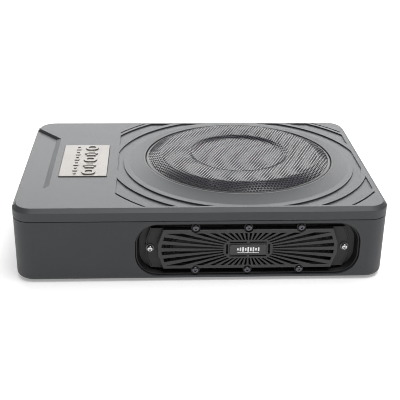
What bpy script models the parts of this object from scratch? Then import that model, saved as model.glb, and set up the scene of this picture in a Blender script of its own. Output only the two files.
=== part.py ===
"""Powered under-seat car subwoofer: a shallow enclosure with a round driver on top, a long passive
radiator in the front wall, and an amplifier whose controls sit in a bay in the left end.

Frame: metres, +Z up, front wall towards -Y, left end towards -X. The origin is on the ground, under
the middle of the enclosure. Run it with blender --background --python part.py.
"""

import math

import bmesh
import bpy
from mathutils import Matrix

MM = 0.001
GAP = 0.3 * MM  # air between two pieces that touch

# Enclosure
BODY_WIDTH = 345 * MM
BODY_DEPTH = 238 * MM
BODY_CORNER = 19 * MM
FLOOR_GAP = 2 * MM
TUB_HEIGHT = 60 * MM
COVER_HEIGHT = 12 * MM
COVER_PLATE = 3 * MM
COVER_WALL = 2.4 * MM
COVER_CHAMFER = 3.9 * MM
TUB_INSET = 0.2 * MM
TUB_DRAFT = 0.3 * MM
TUB_WALL = 2.6 * MM
TUB_FLOOR = 2.8 * MM
TUB_FILLET = 4 * MM
TONGUE_HEIGHT = 3 * MM
TONGUE_WALL = 1.4 * MM
GASKET_HEIGHT = 0.8 * MM
POST_RADIUS = 4.5 * MM
COUNTERBORE_RADIUS = 3.4 * MM
COUNTERBORE_DEPTH = 1.6 * MM

Z_BOTTOM = FLOOR_GAP
Z_FLOOR = Z_BOTTOM + TUB_FLOOR
Z_PART = Z_BOTTOM + TUB_HEIGHT
Z_TOP = Z_PART + COVER_HEIGHT
Z_UNDER = Z_TOP - COVER_PLATE
TONGUE_INSET = COVER_WALL + GAP
Z_TONGUE = Z_PART + TONGUE_HEIGHT

# Feet and the bracket notch in the front lower edge
FOOT_RADIUS = 9 * MM
FOOT_POCKET = 1 * MM
FOOT_MARGIN = 26 * MM
NOTCH_WIDTH = 22 * MM
NOTCH_HEIGHT = 4.3 * MM
NOTCH_DEPTH = 9 * MM
NOTCH_FROM_LEFT = 31.5 * MM

# Speaker grille and the bezel around it
GRILLE_RADIUS = 94.2 * MM
GRILLE_SIDE_MARGIN = 129.7 * MM
GRILLE_THICKNESS = 1.2 * MM
LEDGE_WIDTH = 4.2 * MM
LIP_HEIGHT = 4.4 * MM
LIP_WIDTH = 1.6 * MM
BEZEL_RUN = 16 * MM
LAND = 0.4 * MM
DOME_RISE = 10 * MM
DOME_SHOULDER = 12 * MM
DISH_RADIUS = 46.5 * MM
DISH_DEPTH = 4 * MM

# Concentric grooves in the cover, each as (distance outside the grille edge, width)
GROOVES = ((22.6 * MM, 7.7 * MM), (36.1 * MM, 12.8 * MM), (52.5 * MM, 1.7 * MM))
GROOVE_DEPTH = 1.5 * MM
GROOVE_SIDE_MARGIN = 7.5 * MM
GROOVE_FRONT_MARGIN = 6.5 * MM

# Finger scoop at the left edge of the cover
SCOOP_REACH = 29.2 * MM
SCOOP_INNER_HALF = 65 * MM
SCOOP_FLARE = 1.22
SCOOP_DEPTH = 3 * MM
SCOOP_SIDE_RUN = 2.6 * MM
SCOOP_INNER_RUN = 6.5 * MM

# Name plate, between the scoop and the grooves
PLATE_LENGTH = 85 * MM
PLATE_SCOOP_MARGIN = 7.1 * MM
PLATE_GROOVE_MARGIN = 10.2 * MM
PLATE_THICKNESS = 1.3 * MM
PLATE_POCKET = 0.6 * MM

# Driver
FLANGE_WIDTH = 17.5 * MM
FLANGE_THICKNESS = 2 * MM
FLANGE_OVERHANG = 7.8 * MM
YOKE_LIFT = 2.2 * MM
YOKE_PLATE = 5 * MM
YOKE_RADIUS = 42 * MM
MAGNET_HEIGHT = 9.7 * MM
MAGNET_RADIUS = 47 * MM
TOP_PLATE = 4.7 * MM
POLE_RADIUS = 18.6 * MM
COIL_GAP = 0.7 * MM
COIL_WALL = 0.8 * MM
COIL_LIFT = 8 * MM
SPIDER_LIFT = 9 * MM
SPIDER_MARGIN = 12 * MM
BASKET_SKIN = 2 * MM
BASKET_SETBACK = 13 * MM
CONE_NECK_LIFT = 9.5 * MM
SURROUND_WIDTH = 10 * MM
CAP_RADIUS = 31 * MM
CAP_RISE = 8 * MM
DRIVER_SCREW_RADIUS = 1.5 * MM
DRIVER_SCREWS = 4

# Front window and passive radiator: heights along -Y are measured from the enclosure's middle plane
WINDOW_WIDTH = 208 * MM
WINDOW_LOW_MARGIN = 3.8 * MM
WINDOW_HIGH_MARGIN = 3.2 * MM
WINDOW_CORNER = 21 * MM
WINDOW_DEPTH = 13 * MM
LEDGE_THICKNESS = 3 * MM
RADIATOR_HOLE_MARGIN = 9 * MM
RADIATOR_END_MARGIN = 24 * MM
FRAME_THICKNESS = 1.8 * MM
RIM_SETBACK = 2.6 * MM
RADIATOR_ROLL = 3.35 * MM
RADIATOR_SKIN = 0.8 * MM
RADIATOR_PLATE = 2 * MM
WEIGHT_HALF_LENGTH = 30 * MM
WEIGHT_HEIGHT = 6 * MM
WEIGHT_MARGIN = 1.9 * MM
RADIATOR_SCREW_PITCH = 48.5 * MM
RADIATOR_SCREW_MARGIN = 4.8 * MM
BOSS_RADIUS = 4.1 * MM
END_BOSS_MARGIN = 13.7 * MM
END_BOSS_HEIGHT = 1.6 * MM

# Slotted cover over the passive radiator
SLOTTED_END_GAP = 20.6 * MM
SLOTTED_SIDE_GAP = 6.6 * MM
SLOTTED_FACE = 1.4 * MM
SLOTTED_SETBACK = 1.4 * MM
SLOTTED_FLANGE = 1.5 * MM
SLOTTED_BORDER = 3.4 * MM
SLOTTED_CUT = 5.2 * MM
SLOTTED_STRAIGHT = 5.2 * MM
SLOTS = 40
SLOT_SHARE = 0.45
SLOT_SQUASH = 2.0
HUB_HALF = (25 * MM, 9.4 * MM)
HUB_CUT = 5 * MM
EMBLEM_HALF = (17 * MM, 5 * MM)

# Control bay in the left end
BAY_HALF = (62 * MM, 18 * MM)
BAY_WALL = 3 * MM
BAY_DEPTH = 15.5 * MM
PANEL_THICKNESS = 2 * MM
KNOB_RADIUS = 6 * MM
KNOB_HEIGHT = 6.5 * MM
SHAFT_RADIUS = 2.9 * MM
POT_SIZE = 12 * MM
POT_DEPTH = 7.4 * MM
SWITCH_TRAVEL = 4 * MM

# Amplifier
BOARD_THICKNESS = 1.6 * MM
BOARD_LIFT = 9.2 * MM
BOARD_HALF_DEPTH = 80 * MM
STANDOFF_RADIUS = 3.2 * MM

# Derived places
AXIS_X = BODY_WIDTH / 2 - GRILLE_SIDE_MARGIN
GRILLE_SEAT = Z_TOP + 0.4 * MM
OPENING_RADIUS = GRILLE_RADIUS + 0.4 * MM - LEDGE_WIDTH - 0.4 * MM
Z_FLANGE = Z_UNDER - LAND - GAP - GASKET_HEIGHT - GAP
FLANGE_RADIUS = GRILLE_RADIUS + FLANGE_OVERHANG
Z_YOKE = Z_FLOOR + YOKE_LIFT
Z_MAGNET = Z_YOKE + YOKE_PLATE + GAP
Z_TOP_PLATE = Z_MAGNET + MAGNET_HEIGHT + GAP
Z_BASKET = Z_TOP_PLATE + TOP_PLATE + GAP
Z_SPIDER = Z_BASKET + SPIDER_LIFT
Z_NECK = Z_SPIDER + CONE_NECK_LIFT
COIL_INNER = POLE_RADIUS + COIL_GAP
COIL_OUTER = COIL_INNER + COIL_WALL
MAGNET_HOLE = COIL_OUTER + 4.9 * MM
HUB_HOLE = COIL_OUTER + 5.9 * MM
SPIDER_RADIUS = MAGNET_RADIUS + SPIDER_MARGIN
FLANGE_INNER = FLANGE_RADIUS - FLANGE_WIDTH
CONE_RADIUS = FLANGE_INNER - SURROUND_WIDTH - GAP
WINDOW_HALF = (WINDOW_WIDTH / 2, (TUB_HEIGHT - WINDOW_LOW_MARGIN - WINDOW_HIGH_MARGIN) / 2)
WINDOW_Z = Z_BOTTOM + WINDOW_LOW_MARGIN + WINDOW_HALF[1]
WINDOW_FLOOR = BODY_DEPTH / 2 - WINDOW_DEPTH
FRAME_BACK = WINDOW_FLOOR + GAP + GASKET_HEIGHT + GAP
FRAME_FRONT = FRAME_BACK + FRAME_THICKNESS
RIM_FRONT = BODY_DEPTH / 2 - RIM_SETBACK
HOLE_HALF = (WINDOW_HALF[0] - RADIATOR_END_MARGIN, WINDOW_HALF[1] - RADIATOR_HOLE_MARGIN)
SLOTTED_HALF = (WINDOW_HALF[0] - SLOTTED_END_GAP, WINDOW_HALF[1] - SLOTTED_SIDE_GAP)
SLOTTED_FRONT = BODY_DEPTH / 2 - SLOTTED_SETBACK
SCREW_ROW = WINDOW_HALF[1] - RADIATOR_SCREW_MARGIN
RADIATOR_SCREWS = [(side * RADIATOR_SCREW_PITCH, row * SCREW_ROW) for row in (1, -1) for side in (-1, 0, 1)]
END_BOSSES = [(side * (WINDOW_HALF[0] - END_BOSS_MARGIN), 0) for side in (-1, 1)]
PANEL_OUTER = BODY_WIDTH / 2 - BAY_DEPTH
PANEL_INNER = PANEL_OUTER - PANEL_THICKNESS
PANEL_Z = Z_BOTTOM + TUB_HEIGHT / 2 + 1 * MM
BOARD_Z = Z_FLOOR + BOARD_LIFT
PLATE_LEFT = -BODY_WIDTH / 2 + SCOOP_REACH + PLATE_SCOOP_MARGIN
GROOVE_HALF = (GRILLE_SIDE_MARGIN - GROOVE_SIDE_MARGIN, BODY_DEPTH / 2 - GROOVE_FRONT_MARGIN)
PLATE_RIGHT = AXIS_X - GROOVE_HALF[0] - PLATE_GROOVE_MARGIN

# Turns a piece modelled with its outward direction along +Z to face the front or the left end
FACE_FRONT = Matrix.Rotation(math.radians(90), 4, "X")
FACE_LEFT = Matrix.Rotation(math.radians(-90), 4, "Z") @ FACE_FRONT
AT_DRIVER = Matrix.Translation((AXIS_X, 0, 0))
AT_WINDOW = Matrix.Translation((AXIS_X, 0, WINDOW_Z)) @ FACE_FRONT
AT_PANEL = Matrix.Translation((0, 0, PANEL_Z)) @ FACE_LEFT


# ---------------------------------------------------------------- shape helpers


def rounded_rectangle(half_x, half_y, radius, steps=5):
    """Corner arcs of a rounded rectangle, counter-clockwise, as (x, y) points."""
    points = []
    for turn, (side_x, side_y) in enumerate(((1, 1), (-1, 1), (-1, -1), (1, -1))):
        for step in range(steps + 1):
            angle = math.pi / 2 * (turn + step / steps)
            x = side_x * (half_x - radius) + radius * math.cos(angle)
            y = side_y * (half_y - radius) + radius * math.sin(angle)
            points.append((x, y))
    return points


def cut_corner_rectangle(half_x, half_y, cut_x, cut_y):
    """Octagon with straight cut corners, counter-clockwise."""
    x, y = half_x - cut_x, half_y - cut_y
    right = [(half_x, -y), (half_x, y), (x, half_y)]
    left = [(-x, half_y), (-half_x, y), (-half_x, -y), (-x, -half_y)]
    return right + left + [(x, -half_y)]


def circle(radius, segments, centre=(0, 0)):
    angles = [2 * math.pi * k / segments for k in range(segments)]
    return [(centre[0] + radius * math.cos(a), centre[1] + radius * math.sin(a)) for a in angles]


def level(outline, z):
    return [(x, y, z) for x, y in outline]


def skin(rings, closed=False):
    """Quads between rings of equal length; the two ends are capped, or joined when closed."""
    mesh = bmesh.new()
    loops = [[mesh.verts.new(point) for point in ring] for ring in rings]
    count = len(loops[0])
    pairs = list(zip(loops, loops[1:]))
    if closed:
        pairs.append((loops[-1], loops[0]))
    else:
        mesh.faces.new(loops[0])
        mesh.faces.new(loops[-1])
    for low, high in pairs:
        for k in range(count):
            mesh.faces.new((low[k], low[(k + 1) % count], high[(k + 1) % count], high[k]))
    bmesh.ops.recalc_face_normals(mesh, faces=mesh.faces)
    return mesh


def prism(outline, low, high):
    return skin([level(outline, low), level(outline, high)])


def tube(outer, inner, low, high):
    """A straight-walled ring between two outlines with the same number of points."""
    return skin([level(outer, low), level(outer, high), level(inner, high), level(inner, low)], closed=True)


def block(size_x, size_y, low, high, centre=(0, 0)):
    half_x, half_y = size_x / 2, size_y / 2
    corners = ((half_x, -half_y), (half_x, half_y), (-half_x, half_y), (-half_x, -half_y))
    return prism([(centre[0] + x, centre[1] + y) for x, y in corners], low, high)


def rod(radius, low, high, centre=(0, 0), segments=12):
    return prism(circle(radius, segments, centre), low, high)


def lathe(profile, segments=28):
    """Turns a closed (radius, z) profile about Z. Points on the axis become poles."""
    mesh = bmesh.new()
    rings = []
    for radius, z in profile:
        if radius < 1e-7:
            rings.append([mesh.verts.new((0, 0, z))])
        else:
            rings.append([mesh.verts.new(point) for point in level(circle(radius, segments), z)])
    for ring, after in zip(rings, rings[1:] + rings[:1]):
        for k in range(segments):
            corners = [ring[k % len(ring)], ring[(k + 1) % len(ring)]]
            corners += [after[(k + 1) % len(after)], after[k % len(after)]]
            unique = list(dict.fromkeys(corners))
            if len(unique) > 2:
                mesh.faces.new(unique)
    bmesh.ops.recalc_face_normals(mesh, faces=mesh.faces)
    return mesh


def thickened(points, thickness):
    """Closed profile of a thin wall whose upper side follows the (radius, z) points."""
    side = 1 if points[-1][0] < points[0][0] else -1
    lower = []
    for k, (radius, z) in enumerate(points):
        before = points[max(k - 1, 0)]
        after = points[min(k + 1, len(points) - 1)]
        run, rise = after[0] - before[0], after[1] - before[1]
        length = math.hypot(run, rise)
        inward = 0.0 if radius < 1e-7 else side * thickness * rise / length
        lower.append((radius - inward, z + side * thickness * run / length))
    return list(points) + lower[::-1]


def moved(mesh, matrix):
    bmesh.ops.transform(mesh, matrix=matrix, verts=mesh.verts)
    return mesh


def combined(meshes):
    """One mesh that holds separate closed shapes."""
    whole = bmesh.new()
    for mesh in meshes:
        part = bpy.data.meshes.new("part")
        mesh.to_mesh(part)
        mesh.free()
        whole.from_mesh(part)
        bpy.data.meshes.remove(part)
    return whole


# ---------------------------------------------------------------- object helpers


def finish(name, colour, roughness, metallic=0.0):
    """A Principled material from an sRGB-like linear colour."""
    material = bpy.data.materials.new(name)
    material.use_nodes = True
    shader = material.node_tree.nodes["Principled BSDF"]
    shader.inputs["Base Color"].default_value = (*colour, 1)
    shader.inputs["Roughness"].default_value = roughness
    shader.inputs["Metallic"].default_value = metallic
    material.diffuse_color = (*colour, 1)
    return material


def piece(name, mesh, material, place=None):
    """A named object; place holds where its own origin sits and how it is turned."""
    data = bpy.data.meshes.new(name)
    mesh.to_mesh(data)
    mesh.free()
    data.materials.append(material)
    data.shade_smooth()
    data.set_sharp_from_angle(angle=math.radians(35))
    result = bpy.data.objects.new(name, data)
    bpy.context.scene.collection.objects.link(result)
    if place is not None:
        result.matrix_world = place
    return result


def helper(name, mesh, place=None):
    result = piece(name, mesh, MATERIALS["helper"], place)
    result.hide_render = True
    result.display_type = "WIRE"
    return result


def boolean(target, operation, tool):
    modifier = target.modifiers.new(tool.name, "BOOLEAN")
    modifier.operation = operation
    modifier.object = tool
    return modifier


def cut(target, name, mesh, place=None):
    boolean(target, "DIFFERENCE", helper(name, mesh, place))


def add(target, name, mesh, place=None):
    boolean(target, "UNION", helper(name, mesh, place))


# ---------------------------------------------------------------- shared outlines


def body_ring(inset, z):
    """The enclosure's plan outline, drawn in by inset, at height z."""
    radius = max(BODY_CORNER - inset, 2 * MM)
    return level(rounded_rectangle(BODY_WIDTH / 2 - inset, BODY_DEPTH / 2 - inset, radius), z)


def tub_inset(z):
    return TUB_INSET + TUB_DRAFT * (Z_PART - z) / TUB_HEIGHT


def window_outline(inset):
    return rounded_rectangle(WINDOW_HALF[0] - inset, WINDOW_HALF[1] - inset, WINDOW_CORNER - inset)


def race_outline(half_x, half_y):
    """Long outline with nearly round ends, for the passive radiator."""
    return rounded_rectangle(half_x, half_y, half_y - 0.2 * MM, steps=4)


def fillet_steps(radius, steps):
    """(run, rise) pairs round a quarter fillet, from its vertical side to its flat side."""
    angles = [math.pi / 2 * k / steps for k in range(steps + 1)]
    return [(radius * (1 - math.cos(a)), radius * math.sin(a)) for a in angles]


def post_places():
    """Where the six posts stand that the cover is screwed down to."""
    x, y = BODY_WIDTH / 2 - 15.5 * MM, BODY_DEPTH / 2 - 16 * MM
    middle = AXIS_X - WINDOW_HALF[0] - 11.5 * MM
    return [(sx * x, sy * y) for sx in (-1, 1) for sy in (-1, 1)] + [(middle, sy * y) for sy in (-1, 1)]


def foot_places():
    x, y = BODY_WIDTH / 2 - FOOT_MARGIN, BODY_DEPTH / 2 - FOOT_MARGIN
    names = ("front_left", "front_right", "rear_left", "rear_right")
    return dict(zip(names, ((-x, -y), (x, -y), (-x, y), (x, y))))


# ---------------------------------------------------------------- enclosure


def grille_profile():
    """Upper side of the domed grille, from its rim to the middle of its sunken disc."""
    top = Z_TOP + DOME_RISE
    seat = GRILLE_SEAT + GAP
    shoulder = GRILLE_RADIUS - DOME_SHOULDER
    return [
        (GRILLE_RADIUS, seat),
        (GRILLE_RADIUS, Z_TOP + LIP_HEIGHT - 1.8 * MM),
        (GRILLE_RADIUS - 1.2 * MM, Z_TOP + LIP_HEIGHT - 0.6 * MM),
        (shoulder, top - 0.9 * MM),
        (shoulder - 3.5 * MM, top),
        (DISH_RADIUS + 8 * MM, top - 0.8 * MM),
        (DISH_RADIUS + 4 * MM, top - 1.2 * MM),
        (DISH_RADIUS, top - 1.2 * MM - DISH_DEPTH * 0.8),
        (DISH_RADIUS - 3 * MM, top - 1.2 * MM - DISH_DEPTH),
        (0.0, top - 0.6 * MM - DISH_DEPTH),
    ]


def bezel_ring():
    """Raised conical ring of the cover around the grille, with the ledge that the grille rests on."""
    lip_outer = GRILLE_RADIUS + 0.4 * MM + LIP_WIDTH
    z_lip = Z_TOP + LIP_HEIGHT
    slope = LIP_HEIGHT / BEZEL_RUN
    sunk = COVER_PLATE / 3
    return lathe(
        [
            (OPENING_RADIUS, Z_UNDER - LAND),
            (GRILLE_RADIUS + 12 * MM, Z_UNDER - LAND),
            (GRILLE_RADIUS + 12 * MM, Z_TOP - COVER_PLATE / 2),
            (lip_outer + BEZEL_RUN + sunk / slope, Z_TOP - sunk),
            (lip_outer + 0.6 * MM, z_lip - 0.3 * MM),
            (lip_outer - 0.2 * MM, z_lip),
            (GRILLE_RADIUS + 0.7 * MM, z_lip),
            (GRILLE_RADIUS + 0.4 * MM, z_lip - 0.4 * MM),
            (GRILLE_RADIUS + 0.4 * MM, GRILLE_SEAT),
            (OPENING_RADIUS, GRILLE_SEAT),
        ],
        segments=48,
    )


def groove_solids(inner, outer, z_low, z_high):
    """The ring between two radii as upright solids, clipped to the rectangle GROOVE_HALF about the axis."""
    limit_x, limit_y = GROOVE_HALF

    def reach(angle):
        over_x = limit_x / max(abs(math.cos(angle)), 1e-9)
        over_y = limit_y / max(abs(math.sin(angle)), 1e-9)
        return min(outer, over_x, over_y)

    breaks = {0.0, math.pi / 2}
    for radius in (inner, outer):
        for limit, bend in ((limit_x, math.acos), (limit_y, math.asin)):
            if radius > limit:
                breaks.add(bend(limit / radius))
    edges = sorted(breaks)
    spans = [(a, b) for a, b in zip(edges, edges[1:]) if reach((a + b) / 2) > inner + 0.2 * MM]
    quarter = []
    for low, high in spans:
        steps = max(2, round((high - low) / math.radians(7)))
        angles = [low + (high - low) * k / steps for k in range(steps + 1)]
        quarter += angles if not quarter else angles[1:] if quarter[-1] == low else angles
    if not quarter:
        return []
    back = quarter[::-1]
    sweeps = [quarter, [math.pi - a for a in back]]
    sweeps += [[math.pi + a for a in quarter], [2 * math.pi - a for a in back]]
    meets_x, meets_y = quarter[0] < 1e-9, quarter[-1] > math.pi / 2 - 1e-9
    if meets_x and meets_y:
        angles = sweeps[0] + sweeps[1][1:] + sweeps[2][1:] + sweeps[3][1:-1]
        rim = [(reach(a) * math.cos(a), reach(a) * math.sin(a)) for a in angles]
        core = [(inner * math.cos(a), inner * math.sin(a)) for a in angles]
        return [tube(rim, core, z_low, z_high)]
    if meets_x:
        sweeps = [sweeps[3] + [2 * math.pi + a for a in quarter[1:]], sweeps[1] + sweeps[2][1:]]
    if meets_y:
        sweeps = [sweeps[0] + sweeps[1][1:], sweeps[2] + sweeps[3][1:]]
    solids = []
    for angles in sweeps:
        rim = [(reach(a) * math.cos(a), reach(a) * math.sin(a)) for a in angles]
        rim = [p for k, p in enumerate(rim) if math.hypot(*p) > inner + 0.02 * MM or k in (0, len(rim) - 1)]
        core = [(inner * math.cos(a), inner * math.sin(a)) for a in reversed(angles)]
        if math.dist(rim[-1], core[0]) < 0.05 * MM:
            rim.pop()
        if math.dist(rim[0], core[-1]) < 0.05 * MM:
            rim.pop(0)
        solids.append(prism(rim + core, z_low, z_high))
    return solids


def scoop_solid(grow, low, high):
    """Trapezoid prism at the left edge. Its sides slope, so each level has its own outline."""
    edge = -BODY_WIDTH / 2
    rings = []
    for z in (low, high):
        rise = (z - (Z_TOP - SCOOP_DEPTH)) / SCOOP_DEPTH
        inner_x = edge + SCOOP_REACH - SCOOP_INNER_RUN * (1 - rise) + grow
        half = SCOOP_INNER_HALF - SCOOP_SIDE_RUN * (1 - rise) + grow
        half += SCOOP_FLARE * SCOOP_INNER_RUN * (1 - rise)
        outer_x = edge + (COVER_WALL / 2 if grow else -6 * MM)
        flare = half + SCOOP_FLARE * (inner_x - outer_x)
        rings.append(level([(inner_x, half), (outer_x, flare), (outer_x, -flare), (inner_x, -half)], z))
    return skin(rings)


def make_cover(material):
    """Cast cover: skirt, grooves, raised bezel, scoop, plate pocket and six screw bosses."""
    inner = [body_ring(COVER_WALL + 3.4 * MM, Z_UNDER), body_ring(COVER_WALL + 2.2 * MM, Z_UNDER - 1.2 * MM)]
    ledge = Z_TONGUE + GAP + GASKET_HEIGHT + GAP
    inner += [body_ring(COVER_WALL + 2.2 * MM, ledge), body_ring(COVER_WALL, ledge)]
    inner.append(body_ring(COVER_WALL, Z_PART))
    outer = [body_ring(0, Z_PART), body_ring(0, Z_TOP - COVER_CHAMFER), body_ring(COVER_CHAMFER, Z_TOP)]
    cover = piece("top_cover", skin(inner + outer), material)
    bosses = [rod(POST_RADIUS, Z_PART - 1.7 * MM, Z_UNDER + COVER_PLATE / 2, p) for p in post_places()]
    under_scoop = scoop_solid(COVER_PLATE, Z_TOP - SCOOP_DEPTH - COVER_PLATE, Z_TOP - SCOOP_DEPTH / 2)
    add(cover, "cover_bosses", combined(bosses + [under_scoop]))
    cut(cover, "speaker_opening", lathe([(0, Z_TOP + 9 * MM), (GRILLE_RADIUS + 6 * MM, Z_TOP + 9 * MM),
                                         (GRILLE_RADIUS + 6 * MM, Z_PART), (0, Z_PART)], 48), AT_DRIVER)
    add(cover, "bezel", bezel_ring(), AT_DRIVER)
    sunk = []
    for start, width in GROOVES:
        inner = GRILLE_RADIUS + start
        for solid in groove_solids(inner, inner + width, Z_TOP - GROOVE_DEPTH, Z_TOP + 3 * MM):
            sunk.append(moved(solid, AT_DRIVER))
    middle = ((PLATE_LEFT + PLATE_RIGHT) / 2, 0)
    plate_x, plate_y = PLATE_RIGHT - PLATE_LEFT + 2 * GAP, PLATE_LENGTH + 2 * GAP
    sunk.append(block(plate_x, plate_y, Z_TOP - PLATE_POCKET, Z_TOP + 3 * MM, middle))
    sunk.append(scoop_solid(0, Z_TOP - SCOOP_DEPTH, Z_TOP + SCOOP_DEPTH))
    cut(cover, "cover_recesses", combined(sunk))
    radius = FLANGE_RADIUS - 4 * MM
    holes = [rod(DRIVER_SCREW_RADIUS + GAP, Z_UNDER - 3 * MM, Z_TOP + 1.2 * MM, p, 12)
             for p in circle(radius, 2 * DRIVER_SCREWS)[1::2]]
    cut(cover, "driver_screw_holes", combined(holes), AT_DRIVER)


def make_tub(material):
    """Moulded tub with a window frame in front, a bay in the left end, posts, standoffs and foot pockets."""
    z_round = Z_BOTTOM + TUB_FILLET
    rings = []
    for run, rise in reversed(fillet_steps(TUB_FILLET - 1 * MM, 2)):
        z = Z_FLOOR + TUB_FILLET - 1 * MM - rise
        rings.append(body_ring(tub_inset(z) + TUB_WALL + run, z))
    rings.append(body_ring(tub_inset(Z_PART - 6 * MM) + TUB_WALL, Z_PART - 6 * MM))
    rings.append(body_ring(TONGUE_INSET + TONGUE_WALL, Z_PART - 4 * MM))
    rings.append(body_ring(TONGUE_INSET + TONGUE_WALL, Z_TONGUE))
    rings.append(body_ring(TONGUE_INSET, Z_TONGUE))
    rings.append(body_ring(TONGUE_INSET, Z_PART - GAP))
    rings.append(body_ring(TUB_INSET, Z_PART - GAP))
    for run, rise in fillet_steps(TUB_FILLET, 3):
        rings.append(body_ring(tub_inset(z_round) + run, z_round - rise))
    tub = piece("tub", skin(rings), material)

    window = prism(window_outline(-2.4 * MM), WINDOW_FLOOR - LEDGE_THICKNESS, BODY_DEPTH / 2 - 2 * MM)
    bay = prism(rounded_rectangle(BAY_HALF[0] + BAY_WALL, BAY_HALF[1] + BAY_WALL, 5 * MM, 3),
                PANEL_OUTER + GAP, BODY_WIDTH / 2 - 2 * MM)
    posts = [rod(POST_RADIUS, Z_FLOOR - 1 * MM, Z_PART - 2 * MM, p) for p in post_places()]
    standoffs = [rod(STANDOFF_RADIUS, Z_FLOOR - 1 * MM, BOARD_Z - GAP, p, 12) for p in board_corners()]
    notch_x = -BODY_WIDTH / 2 + NOTCH_FROM_LEFT + NOTCH_WIDTH / 2
    notch_y = -BODY_DEPTH / 2 + NOTCH_DEPTH / 2 + 3 * MM
    roof_top = Z_BOTTOM + NOTCH_HEIGHT + 2.6 * MM
    roof = block(NOTCH_WIDTH + 5 * MM, NOTCH_DEPTH + 2 * MM, Z_FLOOR - 1 * MM, roof_top, (notch_x, notch_y + 2 * MM))
    solids = [moved(window, AT_WINDOW), moved(bay, AT_PANEL), roof] + posts + standoffs
    add(tub, "tub_ribs", combined(solids))

    pocket = prism(window_outline(0), WINDOW_FLOOR, BODY_DEPTH / 2 + 5 * MM)
    opening = prism(rounded_rectangle(*BAY_HALF, 3.5 * MM, 3), PANEL_INNER, BODY_WIDTH / 2 + 5 * MM)
    below = Z_BOTTOM - 3 * MM
    feet = [rod(FOOT_RADIUS + GAP, below, Z_BOTTOM + FOOT_POCKET, p, 20) for p in foot_places().values()]
    bores = [rod(COUNTERBORE_RADIUS, below, Z_BOTTOM + COUNTERBORE_DEPTH, p, 14) for p in post_places()]
    notch = block(NOTCH_WIDTH, NOTCH_DEPTH, below, Z_BOTTOM + NOTCH_HEIGHT, (notch_x, notch_y - 1 * MM))
    cutters = [moved(pocket, AT_WINDOW), moved(opening, AT_PANEL), notch] + feet + bores
    cut(tub, "tub_openings", combined(cutters))

    low, high = WINDOW_FLOOR - 12 * MM, WINDOW_FLOOR + 2 * MM
    through = [prism(race_outline(HOLE_HALF[0] + 0.6 * MM, HOLE_HALF[1] + 0.6 * MM), low, high)]
    through += [rod(1.8 * MM, low, high, p, 10) for p in RADIATOR_SCREWS]
    cut(tub, "radiator_opening", combined(through), AT_WINDOW)


def make_cover_gasket(material):
    low = Z_TONGUE + GAP
    outer, inner = TONGUE_INSET + 0.1 * MM, TONGUE_INSET + TONGUE_WALL - 0.1 * MM
    rings = [body_ring(outer, low), body_ring(outer, low + GASKET_HEIGHT)]
    rings += [body_ring(inner, low + GASKET_HEIGHT), body_ring(inner, low)]
    piece("cover_gasket", skin(rings, closed=True), material)


def make_feet(material):
    for name, (x, y) in foot_places().items():
        top = Z_BOTTOM + FOOT_POCKET - GAP
        profile = [(0, 0), (FOOT_RADIUS - 1.2 * MM, 0), (FOOT_RADIUS, 1 * MM), (FOOT_RADIUS, top), (0, top)]
        piece("foot_" + name, lathe(profile, 20), material, Matrix.Translation((x, y, 0)))


def make_name_plate(material):
    low = Z_TOP - PLATE_POCKET + GAP
    high = low + PLATE_THICKNESS
    half = ((PLATE_RIGHT - PLATE_LEFT) / 2, PLATE_LENGTH / 2)
    rings = [level(rounded_rectangle(*half, 0.8 * MM, 2), low)]
    rings.append(level(rounded_rectangle(*half, 0.8 * MM, 2), high - 0.5 * MM))
    rings.append(level(rounded_rectangle(half[0] - 0.5 * MM, half[1] - 0.5 * MM, 0.5 * MM, 2), high))
    piece("name_plate", skin(rings), material, Matrix.Translation(((PLATE_LEFT + PLATE_RIGHT) / 2, 0, 0)))


def make_speaker_grille(material):
    piece("speaker_grille", lathe(thickened(grille_profile(), GRILLE_THICKNESS), 36), material, AT_DRIVER)


# ---------------------------------------------------------------- driver


def cone_height(radius):
    """Height of the cone's upper side: a shallow flare from the neck to the rim."""
    share = (radius - COIL_OUTER) / (CONE_RADIUS - COIL_OUTER)
    return Z_NECK + (Z_FLANGE - Z_NECK) * share ** 0.85


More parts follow.
